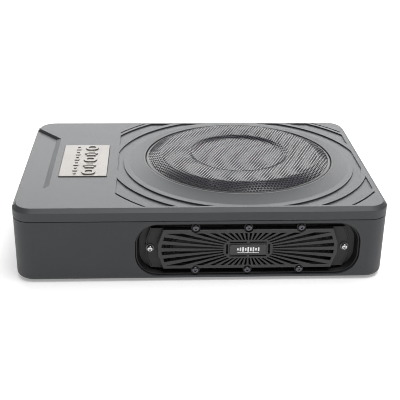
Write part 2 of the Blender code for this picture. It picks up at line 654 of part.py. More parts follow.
def make_basket(material):
    ledge = Z_SPIDER
    inner, outer = FLANGE_INNER, FLANGE_RADIUS
    wall = outer - BASKET_SETBACK
    shelf = SPIDER_RADIUS + 3 * MM
    hub = MAGNET_RADIUS + 1 * MM
    under = Z_FLANGE - FLANGE_THICKNESS
    profile = [
        (HUB_HOLE, Z_BASKET), (hub, Z_BASKET), (SPIDER_RADIUS - 5 * MM, Z_BASKET + 5 * MM),
        (SPIDER_RADIUS - 4 * MM, ledge - 1 * MM), (shelf, ledge - 1 * MM), (wall, Z_FLANGE - 9 * MM),
        (wall, under), (outer, under), (outer, Z_FLANGE), (inner, Z_FLANGE), (inner, under),
        (wall - BASKET_SKIN, under - 1 * MM), (wall - BASKET_SKIN, Z_FLANGE - 8.2 * MM),
        (shelf - 1 * MM, ledge + 1 * MM), (SPIDER_RADIUS - 6.5 * MM, ledge + 1 * MM),
        (SPIDER_RADIUS - 7.2 * MM, Z_BASKET + 5.8 * MM), (hub - 1.5 * MM, Z_BASKET + BASKET_SKIN),
        (HUB_HOLE, Z_BASKET + BASKET_SKIN),
    ]
    basket = piece("woofer_basket", lathe(profile, 30), material, AT_DRIVER)
    windows = []
    for k in range(6):
        start = math.radians(60 * k + 12)
        angles = [start + math.radians(36) * step / 3 for step in range(4)]
        rim = [((wall + 7 * MM) * math.cos(a), (wall + 7 * MM) * math.sin(a)) for a in angles]
        core = [(shelf * math.cos(a), shelf * math.sin(a)) for a in reversed(angles)]
        windows.append(prism(rim + core, ledge + 3 * MM, Z_FLANGE - 11 * MM))
    radius = FLANGE_RADIUS - 4 * MM
    holes = [rod(DRIVER_SCREW_RADIUS + GAP, Z_FLANGE - 5 * MM, Z_FLANGE + 2 * MM, p, 12)
             for p in circle(radius, 2 * DRIVER_SCREWS)[1::2]]
    cut(basket, "basket_windows", combined(windows + holes), AT_DRIVER)


def make_driver_soft_parts(materials):
    """Mounting gasket, surround and spider: the rings that seal the driver or let its cone move."""
    low = Z_FLANGE + GAP
    inner, outer = OPENING_RADIUS - 0.6 * MM, FLANGE_RADIUS - 6.5 * MM
    ring = [(inner, low), (outer, low), (outer, low + GASKET_HEIGHT), (inner, low + GASKET_HEIGHT)]
    piece("woofer_gasket", lathe(ring), materials["foam"], AT_DRIVER)

    roll = SURROUND_WIDTH / 2
    centre = FLANGE_INNER - roll
    lifted = low + 0.8 * MM
    turns = [math.pi * k / 6 for k in range(7)]
    arch = [(centre + roll * math.cos(a), lifted + roll * 0.9 * math.sin(a)) for a in turns]
    upper = [(FLANGE_INNER + 3.6 * MM, lifted)] + arch + [(CONE_RADIUS - 3 * MM, lifted)]
    piece("woofer_surround", lathe(thickened(upper, 0.75 * MM)), materials["rubber"], AT_DRIVER)

    low = Z_SPIDER + 1 * MM + GAP
    start, end = COIL_OUTER + GAP, SPIDER_RADIUS
    steps = 8
    upper = []
    for k in range(steps + 1):
        share = k / steps
        wave = 1.2 * MM + 1.1 * MM * (-1) ** k if 1 < k < steps - 1 else 0.0
        upper.append((start + (end - start) * share, low + 0.7 * MM + wave))
    piece("spider", lathe(thickened(upper, 0.6 * MM), 24), materials["cloth"], AT_DRIVER)


def make_cone_assembly(materials):
    """Cone, dust cap and voice coil: the three pieces that move together."""
    samples = [COIL_OUTER + 0.5 * MM + (CONE_RADIUS - COIL_OUTER - 0.5 * MM) * k / 4 for k in range(5)]
    cone = thickened([(r, cone_height(r)) for r in samples], 1 * MM)
    piece("woofer_cone", lathe(cone), materials["paper"], AT_DRIVER)

    base = cone_height(CAP_RADIUS) + 0.9 * MM
    cap = []
    for k in range(5):
        share = k / 4
        cap.append((CAP_RADIUS * (1 - share), base + CAP_RISE * math.sin(share * math.pi / 2)))
    piece("dust_cap", lathe(thickened(cap, 0.8 * MM), 24), materials["cap"], AT_DRIVER)

    low = Z_YOKE + YOKE_PLATE + COIL_LIFT
    coil_top = low + 11 * MM
    wound = COIL_OUTER + 0.35 * MM
    profile = [(COIL_INNER, low), (wound, low), (wound, coil_top), (COIL_OUTER, coil_top + 0.4 * MM)]
    profile += [(COIL_OUTER, Z_NECK - 1 * MM), (COIL_INNER, Z_NECK - 1 * MM)]
    piece("voice_coil", lathe(profile, 24), materials["copper"], AT_DRIVER)


def make_motor(materials):
    """Yoke with its pole, ring magnet and top plate, stacked from the enclosure floor up."""
    top = Z_TOP_PLATE + TOP_PLATE
    plate = Z_YOKE + YOKE_PLATE
    yoke = [(0, Z_YOKE), (YOKE_RADIUS - 1.5 * MM, Z_YOKE), (YOKE_RADIUS, Z_YOKE + 1.5 * MM)]
    yoke += [(YOKE_RADIUS, plate), (POLE_RADIUS, plate), (POLE_RADIUS, top), (0, top)]
    piece("yoke", lathe(yoke, 24), materials["zinc"], AT_DRIVER)
    magnet = [(MAGNET_HOLE, Z_MAGNET), (MAGNET_RADIUS - 1 * MM, Z_MAGNET), (MAGNET_RADIUS, Z_MAGNET + 1 * MM)]
    magnet += [(MAGNET_RADIUS, Z_MAGNET + MAGNET_HEIGHT), (MAGNET_HOLE, Z_MAGNET + MAGNET_HEIGHT)]
    piece("magnet", lathe(magnet, 24), materials["ferrite"], AT_DRIVER)
    hole = COIL_OUTER + COIL_GAP + 0.35 * MM
    edge = MAGNET_RADIUS - 1.5 * MM
    ring = [(hole, Z_TOP_PLATE), (edge, Z_TOP_PLATE), (edge, top), (hole, top)]
    piece("magnet_top_plate", lathe(ring, 24), materials["zinc"], AT_DRIVER)


def screw_mesh(head_radius, head_height, shank_radius, under_head, tip, socket):
    """Button-head screw along +Z with its head above under_head and a hexagon socket in it."""
    top = under_head + head_height
    shoulder = under_head + head_height * 0.5
    dome = [(head_radius, under_head), (head_radius, shoulder), (head_radius * 0.65, top)]
    profile = [(0, tip), (shank_radius, tip), (shank_radius, under_head)] + dome
    profile += [(socket, top), (socket, top - head_height * 0.55), (0, top - head_height * 0.55)]
    return lathe(profile, 12)


def make_driver_screws(material):
    places = circle(FLANGE_RADIUS - 4 * MM, 2 * DRIVER_SCREWS)[1::2]
    upside_down = Matrix.Rotation(math.pi, 4, "X")
    for k, (x, y) in enumerate(places):
        seat = Z_FLANGE - FLANGE_THICKNESS - GAP
        mesh = screw_mesh(3 * MM, 1.9 * MM, DRIVER_SCREW_RADIUS, 0, -7.2 * MM, 1.1 * MM)
        place = AT_DRIVER @ Matrix.Translation((x, y, seat)) @ upside_down
        piece("driver_screw_%d" % (k + 1), mesh, material, place)


# ---------------------------------------------------------------- passive radiator


def make_radiator_frame(material):
    """Frame in the window: sloping rim, floor with the radiator's hole, and eight screw bosses."""
    hole = rounded_rectangle(*HOLE_HALF, HOLE_HALF[1] - 0.2 * MM)
    rings = [
        level(window_outline(GAP), FRAME_BACK),
        level(window_outline(GAP), RIM_FRONT),
        level(window_outline(1.4 * MM), RIM_FRONT),
        level(window_outline(3.6 * MM), FRAME_FRONT),
        level(hole, FRAME_FRONT),
        level(hole, FRAME_BACK),
    ]
    frame = piece("radiator_frame", skin(rings, closed=True), material, AT_WINDOW)
    middle = (FRAME_BACK + FRAME_FRONT) / 2
    bosses = [rod(BOSS_RADIUS, middle, RIM_FRONT - GAP, p) for p in RADIATOR_SCREWS]
    bosses += [rod(BOSS_RADIUS + 0.9 * MM, middle, FRAME_FRONT + END_BOSS_HEIGHT, p) for p in END_BOSSES]
    add(frame, "frame_bosses", combined(bosses), AT_WINDOW)
    low, high = FRAME_BACK - 2 * MM, RIM_FRONT + 2 * MM
    bores = [rod(1.8 * MM, low, high, p, 10) for p in RADIATOR_SCREWS + END_BOSSES]
    cut(frame, "frame_bores", combined(bores), AT_WINDOW)


def make_radiator(materials):
    """Gasket, rolled surround, diaphragm and its weight."""
    inner = race_outline(HOLE_HALF[0] + 0.8 * MM, HOLE_HALF[1] + 0.8 * MM)
    outer = race_outline(HOLE_HALF[0] + 2.4 * MM, HOLE_HALF[1] + 2.1 * MM)
    piece("radiator_gasket", tube(outer, inner, WINDOW_FLOOR + GAP, WINDOW_FLOOR + GAP + GASKET_HEIGHT),
          materials["foam"], AT_WINDOW)

    foot = 1.4 * MM
    top = FRAME_FRONT - 0.2 * MM
    centre = GAP + foot + RADIATOR_ROLL
    path = [(GAP, top), (GAP + foot, top)]
    for k in range(1, 6):
        angle = math.pi * k / 6
        path.append((centre - RADIATOR_ROLL * math.cos(angle), top - RADIATOR_ROLL * math.sin(angle)))
    end = centre + RADIATOR_ROLL
    path += [(end, top), (end + foot, top)]
    sections = path + [(inset, z - RADIATOR_SKIN) for inset, z in reversed(path)]
    rings = [level(race_outline(HOLE_HALF[0] - inset, HOLE_HALF[1] - inset), z) for inset, z in sections]
    piece("radiator_surround", skin(rings, closed=True), materials["rubber"], AT_WINDOW)

    edge = end + foot + GAP
    half = (HOLE_HALF[0] - edge, HOLE_HALF[1] - edge)
    rings = [level(race_outline(*half), top - RADIATOR_PLATE), level(race_outline(*half), top - 0.4 * MM)]
    rings.append(level(race_outline(half[0] - 0.6 * MM, half[1] - 0.6 * MM), top))
    piece("radiator_diaphragm", skin(rings), materials["plastic"], AT_WINDOW)

    back = top - RADIATOR_PLATE - GAP
    weight = block(2 * WEIGHT_HALF_LENGTH, 2 * (half[1] - WEIGHT_MARGIN), back - WEIGHT_HEIGHT, back)
    piece("radiator_weight", weight, materials["zinc"], AT_WINDOW)


def slotted_outline(grow):
    half_x, half_y = SLOTTED_HALF[0] + grow, SLOTTED_HALF[1] + grow
    cut_x, cut_y = SLOTTED_CUT + grow * 0.4, half_y - SLOTTED_STRAIGHT - grow * 0.4
    return cut_corner_rectangle(half_x, half_y, cut_x, cut_y)


def ray_reach(outline, angle):
    """Distance from the middle to a convex outline along the given direction."""
    dx, dy = math.cos(angle), math.sin(angle)
    best = math.inf
    for (ax, ay), (bx, by) in zip(outline, outline[1:] + outline[:1]):
        ex, ey = bx - ax, by - ay
        cross = dx * ey - dy * ex
        if abs(cross) > 1e-12:
            along = (ax * ey - ay * ex) / cross
            share = (ax * dy - ay * dx) / cross
            if along > 0 and -1e-9 <= share <= 1 + 1e-9:
                best = min(best, along)
    return best


def sunburst_slots(low, high):
    """Wedge-shaped slots that fan out from the hub; their spacing closes up towards the long axis."""
    outer = slotted_outline(-SLOTTED_BORDER)
    hub = cut_corner_rectangle(*HUB_HALF, HUB_CUT, HUB_CUT)
    pitch = 2 * math.pi / SLOTS
    slots = []
    for k in range(SLOTS):
        middle = (k + 0.5) * pitch
        sides = []
        for turn in (middle - SLOT_SHARE * pitch / 2, middle + SLOT_SHARE * pitch / 2):
            sides.append(math.atan2(math.sin(turn), math.cos(turn) * SLOT_SQUASH))
        reach = [(ray_reach(hub, a), ray_reach(outer, a)) for a in sides]
        corners = [(reach[0][0], sides[0]), (reach[0][1], sides[0])]
        corners += [(reach[1][1], sides[1]), (reach[1][0], sides[1])]
        slots.append(prism([(r * math.cos(a), r * math.sin(a)) for r, a in corners], low, high))
    return slots


def make_slotted_grille(material):
    """Cover over the radiator: base flange, box sides and a face with fanned slots around an emblem."""
    base = FRAME_FRONT + END_BOSS_HEIGHT + GAP
    step = base + SLOTTED_FLANGE
    inner_face = SLOTTED_FRONT - SLOTTED_FACE
    cavity = slotted_outline(-1.4 * MM)
    flange_half = (SLOTTED_HALF[0] + 10.4 * MM, SLOTTED_HALF[1] + GAP)
    flange = cut_corner_rectangle(*flange_half, 4 * MM, SLOTTED_HALF[1] - 9 * MM)
    rings = [
        level(cavity, inner_face),
        level(cavity, base),
        level(flange, base),
        level(flange, step),
        level(slotted_outline(0), step),
        level(slotted_outline(0), SLOTTED_FRONT - 0.6 * MM),
        level(slotted_outline(-0.6 * MM), SLOTTED_FRONT),
    ]
    grille = piece("radiator_grille", skin(rings), material, AT_WINDOW)
    low, high = inner_face - 0.6 * MM, SLOTTED_FRONT + 2 * MM
    cuts = sunburst_slots(low, high)
    reach_x, reach_y = EMBLEM_HALF
    for side in (-1, 1):
        cuts.append(block(1.8 * MM, 2 * reach_y, low, high, (side * (reach_x + 2.4 * MM), 0)))
        for end in (-1, 1):
            centre = (end * (reach_x / 2 + 0.6 * MM), side * (reach_y + 2 * MM))
            cuts.append(block(reach_x - 1.2 * MM, 1.2 * MM, low, high, centre))
    cuts += [rod(BOSS_RADIUS + 0.5 * MM, base - 2 * MM, high, p, 16) for p in RADIATOR_SCREWS]
    cuts += [rod(1.8 * MM, base - 2 * MM, step + 2 * MM, p, 10) for p in END_BOSSES]
    cut(grille, "grille_slots", combined(cuts), AT_WINDOW)


def make_emblem(material):
    reach_x, reach_y = EMBLEM_HALF
    low = SLOTTED_FRONT + GAP
    rings = [level(rounded_rectangle(reach_x, reach_y, 1.2 * MM, 2), low)]
    rings.append(level(rounded_rectangle(reach_x, reach_y, 1.2 * MM, 2), low + 0.5 * MM))
    upper = rounded_rectangle(reach_x - 0.4 * MM, reach_y - 0.4 * MM, 0.8 * MM, 2)
    rings.append(level(upper, low + 0.9 * MM))
    piece("radiator_emblem", skin(rings), material, AT_WINDOW)


def make_radiator_fasteners(materials):
    under = RIM_FRONT
    for k, (x, y) in enumerate(RADIATOR_SCREWS):
        mesh = screw_mesh(3.1 * MM, 1.9 * MM, 1.5 * MM, under, WINDOW_FLOOR - LEDGE_THICKNESS, 1.2 * MM)
        place = AT_WINDOW @ Matrix.Translation((x, y, 0))
        piece("radiator_screw_%d" % (k + 1), mesh, materials["black_steel"], place)
    under = FRAME_FRONT + END_BOSS_HEIGHT + SLOTTED_FLANGE + 2 * GAP
    for side, (x, y) in zip(("left", "right"), END_BOSSES):
        mesh = screw_mesh(3.9 * MM, 2.6 * MM, 1.5 * MM, under, FRAME_BACK, 1.3 * MM)
        piece("grille_bolt_" + side, mesh, materials["steel"], AT_WINDOW @ Matrix.Translation((x, y, 0)))


# ---------------------------------------------------------------- control bay

# Each place is (towards the front, up) on the control panel, seen from outside the left end
POWER_AT = (-44 * MM, -7 * MM)
FUSE_AT = (-44 * MM, 9 * MM)
SPEAKER_AT = (-16 * MM, -7 * MM)
PHASE_AT = (-19 * MM, 9 * MM)
LED_AT = (-4 * MM, 9 * MM)
RCA_AT = {"left": (5 * MM, -7 * MM), "right": (20 * MM, -7 * MM)}
REMOTE_AT = (42 * MM, -8 * MM)
KNOB_AT = {"level": (13 * MM, 9 * MM), "crossover": (32 * MM, 9 * MM), "bass_boost": (51 * MM, 9 * MM)}
SOCKETS = {
    "power_socket": (POWER_AT, (26 * MM, 14 * MM), (22 * MM, 10 * MM)),
    "fuse_holder": (FUSE_AT, (21 * MM, 9 * MM), (17 * MM, 5.4 * MM)),
    "speaker_level_socket": (SPEAKER_AT, (20 * MM, 12 * MM), (16 * MM, 8 * MM)),
    "remote_socket": (REMOTE_AT, (14 * MM, 13 * MM), (10.5 * MM, 8.5 * MM)),
}
SOCKET_FRONT = PANEL_OUTER + 3 * MM
SOCKET_BACK = PANEL_INNER - 7 * MM
SOCKET_FLOOR = SOCKET_BACK + 2 * MM


def make_control_panel(material):
    half = (BAY_HALF[0] + BAY_WALL, BAY_HALF[1] + BAY_WALL)
    plate = prism(rounded_rectangle(*half, 3 * MM, 3), PANEL_INNER, PANEL_OUTER)
    panel = piece("control_panel", plate, material, AT_PANEL)
    low, high = PANEL_INNER - 2 * MM, PANEL_OUTER + 2 * MM
    cuts = [block(size[0] + 2 * GAP, size[1] + 2 * GAP, low, high, at) for at, size, _ in SOCKETS.values()]
    cuts += [rod(SHAFT_RADIUS + 0.4 * MM, low, high, at) for at in KNOB_AT.values()]
    cuts += [rod(4.4 * MM + GAP, low, high, at) for at in RCA_AT.values()]
    cuts.append(block(SWITCH_TRAVEL + 5.4 * MM, 3.6 * MM, low, high, PHASE_AT))
    cuts.append(rod(1.5 * MM + GAP, low, high, LED_AT, 12))
    cut(panel, "panel_cutouts", combined(cuts), AT_PANEL)


def make_sockets(material):
    for name, (at, size, mouth) in SOCKETS.items():
        outer = rounded_rectangle(size[0] / 2, size[1] / 2, 1 * MM, 2)
        inner = rounded_rectangle(mouth[0] / 2, mouth[1] / 2, 0.6 * MM, 2)
        rings = [level(outer, SOCKET_BACK), level(outer, SOCKET_FRONT), level(inner, SOCKET_FRONT)]
        rings.append(level(inner, SOCKET_FLOOR))
        piece(name, skin(rings), material, AT_PANEL @ Matrix.Translation((*at, 0)))


def make_fuse(material):
    mouth = SOCKETS["fuse_holder"][2]
    half = (mouth[0] / 2 - 0.5 * MM, mouth[1] / 2 - 0.5 * MM)
    rings = [level(rounded_rectangle(*half, 0.5 * MM, 2), SOCKET_FLOOR + GAP)]
    rings.append(level(rounded_rectangle(*half, 0.5 * MM, 2), SOCKET_FRONT + 1.4 * MM))
    upper = rounded_rectangle(half[0] - 0.4 * MM, half[1] - 0.4 * MM, 0.3 * MM, 2)
    rings.append(level(upper, SOCKET_FRONT + 1.8 * MM))
    piece("fuse", skin(rings), material, AT_PANEL @ Matrix.Translation((*FUSE_AT, 0)))


def make_rca_jacks(material):
    for side, at in RCA_AT.items():
        flange = PANEL_OUTER + GAP
        profile = [(0, PANEL_INNER - 6 * MM), (4.4 * MM, PANEL_INNER - 6 * MM)]
        profile += [(4.4 * MM, flange), (5.6 * MM, flange)]
        profile += [(5.6 * MM, flange + 1 * MM), (4.15 * MM, flange + 1 * MM), (4.15 * MM, flange + 8 * MM)]
        profile += [(1.7 * MM, flange + 8 * MM), (1.7 * MM, flange), (0, flange)]
        piece("rca_jack_" + side, lathe(profile, 16), material, AT_PANEL @ Matrix.Translation((*at, 0)))


def make_knobs(materials):
    """Three turning knobs, each with its shaft, and the potentiometers behind the panel."""
    for name, at in KNOB_AT.items():
        place = AT_PANEL @ Matrix.Translation((*at, 0))
        low = PANEL_OUTER + GAP
        shaft_end = PANEL_INNER - 5.5 * MM
        profile = [(0, shaft_end), (SHAFT_RADIUS, shaft_end), (SHAFT_RADIUS, low), (KNOB_RADIUS, low)]
        profile += [(KNOB_RADIUS, low + 1 * MM), (KNOB_RADIUS - 0.6 * MM, low + 1.4 * MM)]
        profile.append((KNOB_RADIUS - 1 * MM, low + KNOB_HEIGHT - 0.6 * MM))
        profile.append((KNOB_RADIUS - 1.6 * MM, low + KNOB_HEIGHT))
        profile.append((0, low + KNOB_HEIGHT))
        knob = piece(name + "_knob", lathe(profile, 18), materials["knob"], place)
        top = low + KNOB_HEIGHT
        middle = (0, KNOB_RADIUS / 2 + 0.5 * MM)
        cut(knob, name + "_pointer", block(0.8 * MM, KNOB_RADIUS, top - 0.5 * MM, top + 1 * MM, middle), place)
        back = PANEL_INNER - GAP - POT_DEPTH
        outer = rounded_rectangle(POT_SIZE / 2, POT_SIZE / 2, 1 * MM, 3)
        bore = circle(SHAFT_RADIUS + 0.4 * MM, 16)
        turned = bore[2:] + bore[:2]
        rings = [level(outer, back), level(outer, PANEL_INNER - GAP), level(turned, PANEL_INNER - GAP)]
        rings.append(level(turned, shaft_end - 0.5 * MM))
        piece(name + "_potentiometer", skin(rings), materials["dark_plastic"], place)


def make_phase_switch(materials):
    """Slide switch: its lever travels along the panel in the body's slot and rests at one end."""
    place = AT_PANEL @ Matrix.Translation((*PHASE_AT, 0))
    slot = rounded_rectangle(SWITCH_TRAVEL / 2 + 2.5 * MM, 1.7 * MM, 0.4 * MM, 1)
    outer = rounded_rectangle(7 * MM, 3.6 * MM, 0.8 * MM, 1)
    front = PANEL_INNER - GAP
    rings = [level(outer, front - 6 * MM), level(outer, front), level(slot, front), level(slot, front - 4 * MM)]
    piece("phase_switch_body", skin(rings), materials["dark_plastic"], place)
    lever = rounded_rectangle(2 * MM, 1.4 * MM, 0.4 * MM, 2)
    rings = [level(lever, front - 3.6 * MM), level(lever, PANEL_OUTER + 2.6 * MM)]
    rings.append(level(rounded_rectangle(1.7 * MM, 1.1 * MM, 0.3 * MM, 2), PANEL_OUTER + 3 * MM))
    place = AT_PANEL @ Matrix.Translation((PHASE_AT[0] - SWITCH_TRAVEL / 2, PHASE_AT[1], 0))
    piece("phase_switch_lever", skin(rings), materials["knob"], place)


def make_led(material):
    high = PANEL_OUTER + 0.4 * MM
    profile = [(0, PANEL_INNER - 4 * MM), (1.5 * MM, PANEL_INNER - 4 * MM), (1.5 * MM, high)]
    profile += [(1.1 * MM, high + 0.9 * MM), (0, high + 1.3 * MM)]
    piece("power_led", lathe(profile, 12), material, AT_PANEL @ Matrix.Translation((*LED_AT, 0)))


# ---------------------------------------------------------------- amplifier


def board_span():
    """The board's X range: from behind the panel's parts to short of the driver's flange."""
    return -PANEL_INNER + 8.6 * MM, AXIS_X - FLANGE_RADIUS - 7 * MM


def board_corners():
    left, right = board_span()
    inset = 5 * MM
    y = BOARD_HALF_DEPTH - inset
    return [(x, side * y) for x in (left + inset, right - inset) for side in (-1, 1)]


def make_board(material):
    left, right = board_span()
    middle = ((left + right) / 2, 0)
    board = block(right - left, 2 * BOARD_HALF_DEPTH, BOARD_Z, BOARD_Z + BOARD_THICKNESS, middle)
    piece("amplifier_board", board, material)


def make_heat_sink(material):
    """Extruded comb of fins, stood on the board."""
    left, right = board_span()
    fins, pitch, fin, base, height = 7, 5.5 * MM, 1.8 * MM, 3 * MM, 18 * MM
    width = (fins - 1) * pitch + fin
    outline = [(0, 0), (width, 0)]
    for k in reversed(range(fins)):
        outline += [(k * pitch + fin, height), (k * pitch, height)]
        if k:
            outline += [(k * pitch, base), ((k - 1) * pitch + fin, base)]
    length = right - left - 24 * MM
    turn = Matrix.Rotation(math.radians(90), 4, "Z") @ Matrix.Rotation(math.radians(90), 4, "X")
    corner = (left + 12 * MM, BOARD_HALF_DEPTH - 12 * MM - width, BOARD_Z + BOARD_THICKNESS + GAP)
    place = Matrix.Translation(corner) @ turn
    piece("heat_sink", prism(outline, 0, length), material, place)


def make_board_parts(materials):
    left, right = board_span()
    base = BOARD_Z + BOARD_THICKNESS + GAP
    rounded = [(math.cos(a), math.sin(a)) for a in (2 * math.pi * k / 8 for k in range(8))]
    ring = [(14 * MM + 5.5 * MM * c, base + 7 * MM + 7 * MM * s) for c, s in rounded]
    piece("choke", lathe(ring, 20), materials["copper"], Matrix.Translation((right - 24 * MM, -8 * MM, 0)))
    for k in range(2):
        radius, height, crimp = 8 * MM, 27 * MM, 3 * MM
        profile = [(0, base), (radius, base), (radius, base + crimp), (radius - 0.7 * MM, base + crimp + 0.8 * MM)]
        profile += [(radius, base + crimp + 1.6 * MM), (radius, base + height - 0.6 * MM)]
        profile += [(radius - 0.6 * MM, base + height), (0, base + height)]
        place = Matrix.Translation((left + 24 * MM + 21 * MM * k, -BOARD_HALF_DEPTH + 22 * MM, 0))
        piece("capacitor_%d" % (k + 1), lathe(profile, 16), materials["sleeve"], place)


# ---------------------------------------------------------------- build

MATERIALS = {}


def make_materials():
    MATERIALS.update(
        helper=finish("helper", (0.8, 0.2, 0.8), 0.8),
        cover=finish("grey_paint", (0.34, 0.34, 0.35), 0.42, 0.2),
        tub=finish("dark_grey_plastic", (0.055, 0.057, 0.06), 0.5),
        lacquer=finish("black_lacquer", (0.012, 0.012, 0.013), 0.12),
        plate=finish("brushed_silver", (0.66, 0.64, 0.62), 0.3, 1.0),
        mesh=finish("grille_steel", (0.25, 0.25, 0.26), 0.4, 0.8),
        rubber=finish("rubber", (0.015, 0.015, 0.016), 0.7),
        foam=finish("foam", (0.02, 0.02, 0.02), 0.95),
        cloth=finish("spider_cloth", (0.55, 0.38, 0.12), 0.9),
        paper=finish("cone_paper", (0.03, 0.03, 0.032), 0.8),
        cap=finish("cap_plastic", (0.02, 0.02, 0.022), 0.35),
        copper=finish("copper_wire", (0.62, 0.26, 0.12), 0.35, 1.0),
        zinc=finish("zinc_steel", (0.55, 0.55, 0.52), 0.35, 1.0),
        ferrite=finish("ferrite", (0.05, 0.05, 0.055), 0.6),
        basket=finish("black_enamel", (0.02, 0.02, 0.02), 0.45),
        frame=finish("black_plastic", (0.018, 0.018, 0.019), 0.45),
        slotted=finish("graphite_plastic", (0.075, 0.077, 0.08), 0.45),
        plastic=finish("radiator_plastic", (0.02, 0.02, 0.022), 0.5),
        black_steel=finish("black_steel", (0.02, 0.02, 0.022), 0.2, 0.7),
        steel=finish("bright_steel", (0.75, 0.75, 0.76), 0.2, 1.0),
        panel=finish("panel_black", (0.025, 0.025, 0.027), 0.5),
        knob=finish("knob_grey", (0.12, 0.12, 0.125), 0.5),
        dark_plastic=finish("socket_black", (0.012, 0.012, 0.013), 0.4),
        fuse=finish("fuse_amber", (0.8, 0.42, 0.03), 0.25),
        nickel=finish("nickel", (0.7, 0.68, 0.62), 0.25, 1.0),
        lens=finish("lens_blue", (0.1, 0.25, 0.8), 0.15),
        board=finish("board_green", (0.02, 0.16, 0.07), 0.45),
        aluminium=finish("aluminium", (0.7, 0.7, 0.72), 0.35, 1.0),
        sleeve=finish("capacitor_sleeve", (0.02, 0.03, 0.09), 0.35),
    )


def clear_scene():
    for obj in list(bpy.data.objects):
        bpy.data.objects.remove(obj, do_unlink=True)


def main():
    clear_scene()
    make_materials()
    looks = MATERIALS
    make_cover(looks["cover"])
    make_tub(looks["tub"])
    make_cover_gasket(looks["rubber"])
    make_feet(looks["rubber"])
    make_name_plate(looks["plate"])
    make_speaker_grille(looks["mesh"])
    make_basket(looks["basket"])
    make_driver_soft_parts(looks)
    make_cone_assembly(looks)
    make_motor(looks)
    make_driver_screws(looks["black_steel"])
    make_radiator_frame(looks["frame"])
    make_radiator(looks)
    make_slotted_grille(looks["slotted"])
    make_emblem(looks["lacquer"])
    make_radiator_fasteners(looks)
    make_control_panel(looks["panel"])
    make_sockets(looks["dark_plastic"])
    make_fuse(looks["fuse"])
    make_rca_jacks(looks["nickel"])
    make_knobs(looks)
    make_phase_switch(looks)
    make_led(looks["lens"])
    make_board(looks["board"])
    make_heat_sink(looks["aluminium"])
    make_board_parts(looks)


main()
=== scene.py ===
"""Looks of the powered car subwoofer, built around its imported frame.

Run it as a script in Blender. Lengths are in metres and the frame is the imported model's own:
+X to the right along the front wall, -Y out of the front wall, +Z up, the ground at zero.
"""

import math

import bmesh
import bpy
import numpy as np
from bpy.props import FloatProperty, FloatVectorProperty, IntProperty, PointerProperty
from mathutils import Matrix, Vector


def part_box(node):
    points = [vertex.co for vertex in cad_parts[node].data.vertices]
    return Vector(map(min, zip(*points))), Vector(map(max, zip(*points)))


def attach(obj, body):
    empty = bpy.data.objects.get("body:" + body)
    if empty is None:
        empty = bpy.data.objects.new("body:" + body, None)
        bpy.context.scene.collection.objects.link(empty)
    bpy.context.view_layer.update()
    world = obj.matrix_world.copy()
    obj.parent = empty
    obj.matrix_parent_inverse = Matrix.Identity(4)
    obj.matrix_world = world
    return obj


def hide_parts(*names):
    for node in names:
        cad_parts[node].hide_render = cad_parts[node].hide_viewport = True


bl_info = {
    "name": "Powered car subwoofer",
    "version": (1, 0, 0),
    "blender": (4, 5, 0),
    "location": "View3D > Sidebar > Subwoofer",
    "description": "Builds the visible pieces of a powered car subwoofer around its packed frame",
    "category": "Object",
}

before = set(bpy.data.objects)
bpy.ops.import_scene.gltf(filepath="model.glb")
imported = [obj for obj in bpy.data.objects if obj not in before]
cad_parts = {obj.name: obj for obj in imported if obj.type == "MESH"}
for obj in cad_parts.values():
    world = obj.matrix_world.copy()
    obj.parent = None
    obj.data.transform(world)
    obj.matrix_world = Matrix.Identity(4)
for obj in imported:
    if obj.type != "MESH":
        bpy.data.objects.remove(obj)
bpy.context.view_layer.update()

MM = 0.001
HOUSING = "housing"

# ---------------------------------------------------------------- places, read from the frame

_, COVER_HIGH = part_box("top_cover")
TUB_LOW, TUB_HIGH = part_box("tub")
GRILLE_LOW, GRILLE_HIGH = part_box("speaker_grille")
PLATE_LOW, PLATE_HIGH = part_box("name_plate")
FRAME_LOW, FRAME_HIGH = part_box("radiator_frame")
SLOTTED_LOW, SLOTTED_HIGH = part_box("radiator_grille")
EMBLEM_LOW, EMBLEM_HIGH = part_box("radiator_emblem")
PANEL_LOW, PANEL_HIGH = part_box("control_panel")

GAP = 0.3 * MM
BODY_HALF = (COVER_HIGH.x, COVER_HIGH.y)
BODY_CORNER = 19 * MM
LIP_HEIGHT = 4.4 * MM
Z_TOP = COVER_HIGH.z - LIP_HEIGHT
Z_PART = TUB_HIGH.z - 3 * MM
Z_BOTTOM = TUB_LOW.z
COVER_PLATE = 3 * MM
COVER_WALL = 2.4 * MM
COVER_CHAMFER = 3.9 * MM
TUB_INSET = 0.2 * MM
TUB_DRAFT = 0.3 * MM
TUB_WALL = 2.6 * MM
TUB_FILLET = 4 * MM
TUB_FLOOR = 2.8 * MM
AXIS_X = (GRILLE_LOW.x + GRILLE_HIGH.x) / 2
GRILLE_RADIUS = (GRILLE_HIGH.y - GRILLE_LOW.y) / 2
BODY_FRONT = BODY_HALF[1]
WINDOW_Z = (FRAME_LOW.z + FRAME_HIGH.z) / 2
WINDOW_HALF = ((FRAME_HIGH.x - FRAME_LOW.x) / 2 + GAP, (FRAME_HIGH.z - FRAME_LOW.z) / 2 + GAP)
WINDOW_CORNER = 21 * MM
WINDOW_FLOOR = BODY_FRONT - 13 * MM
FRAME_BACK = -FRAME_HIGH.y
FRAME_FLOOR = FRAME_BACK + 1.8 * MM
RIM_FRONT = -FRAME_LOW.y
SLOTTED_BASE = -SLOTTED_HIGH.y
SLOTTED_FRONT = -SLOTTED_LOW.y
SLOTTED_HALF = (WINDOW_HALF[0] - 20.6 * MM, WINDOW_HALF[1] - 6.6 * MM)
HOLE_HALF = (WINDOW_HALF[0] - 24 * MM, WINDOW_HALF[1] - 9 * MM)
EMBLEM_HALF = ((EMBLEM_HIGH.x - EMBLEM_LOW.x) / 2, (EMBLEM_HIGH.z - EMBLEM_LOW.z) / 2)
PANEL_OUTER = -PANEL_LOW.x
PANEL_INNER = -PANEL_HIGH.x
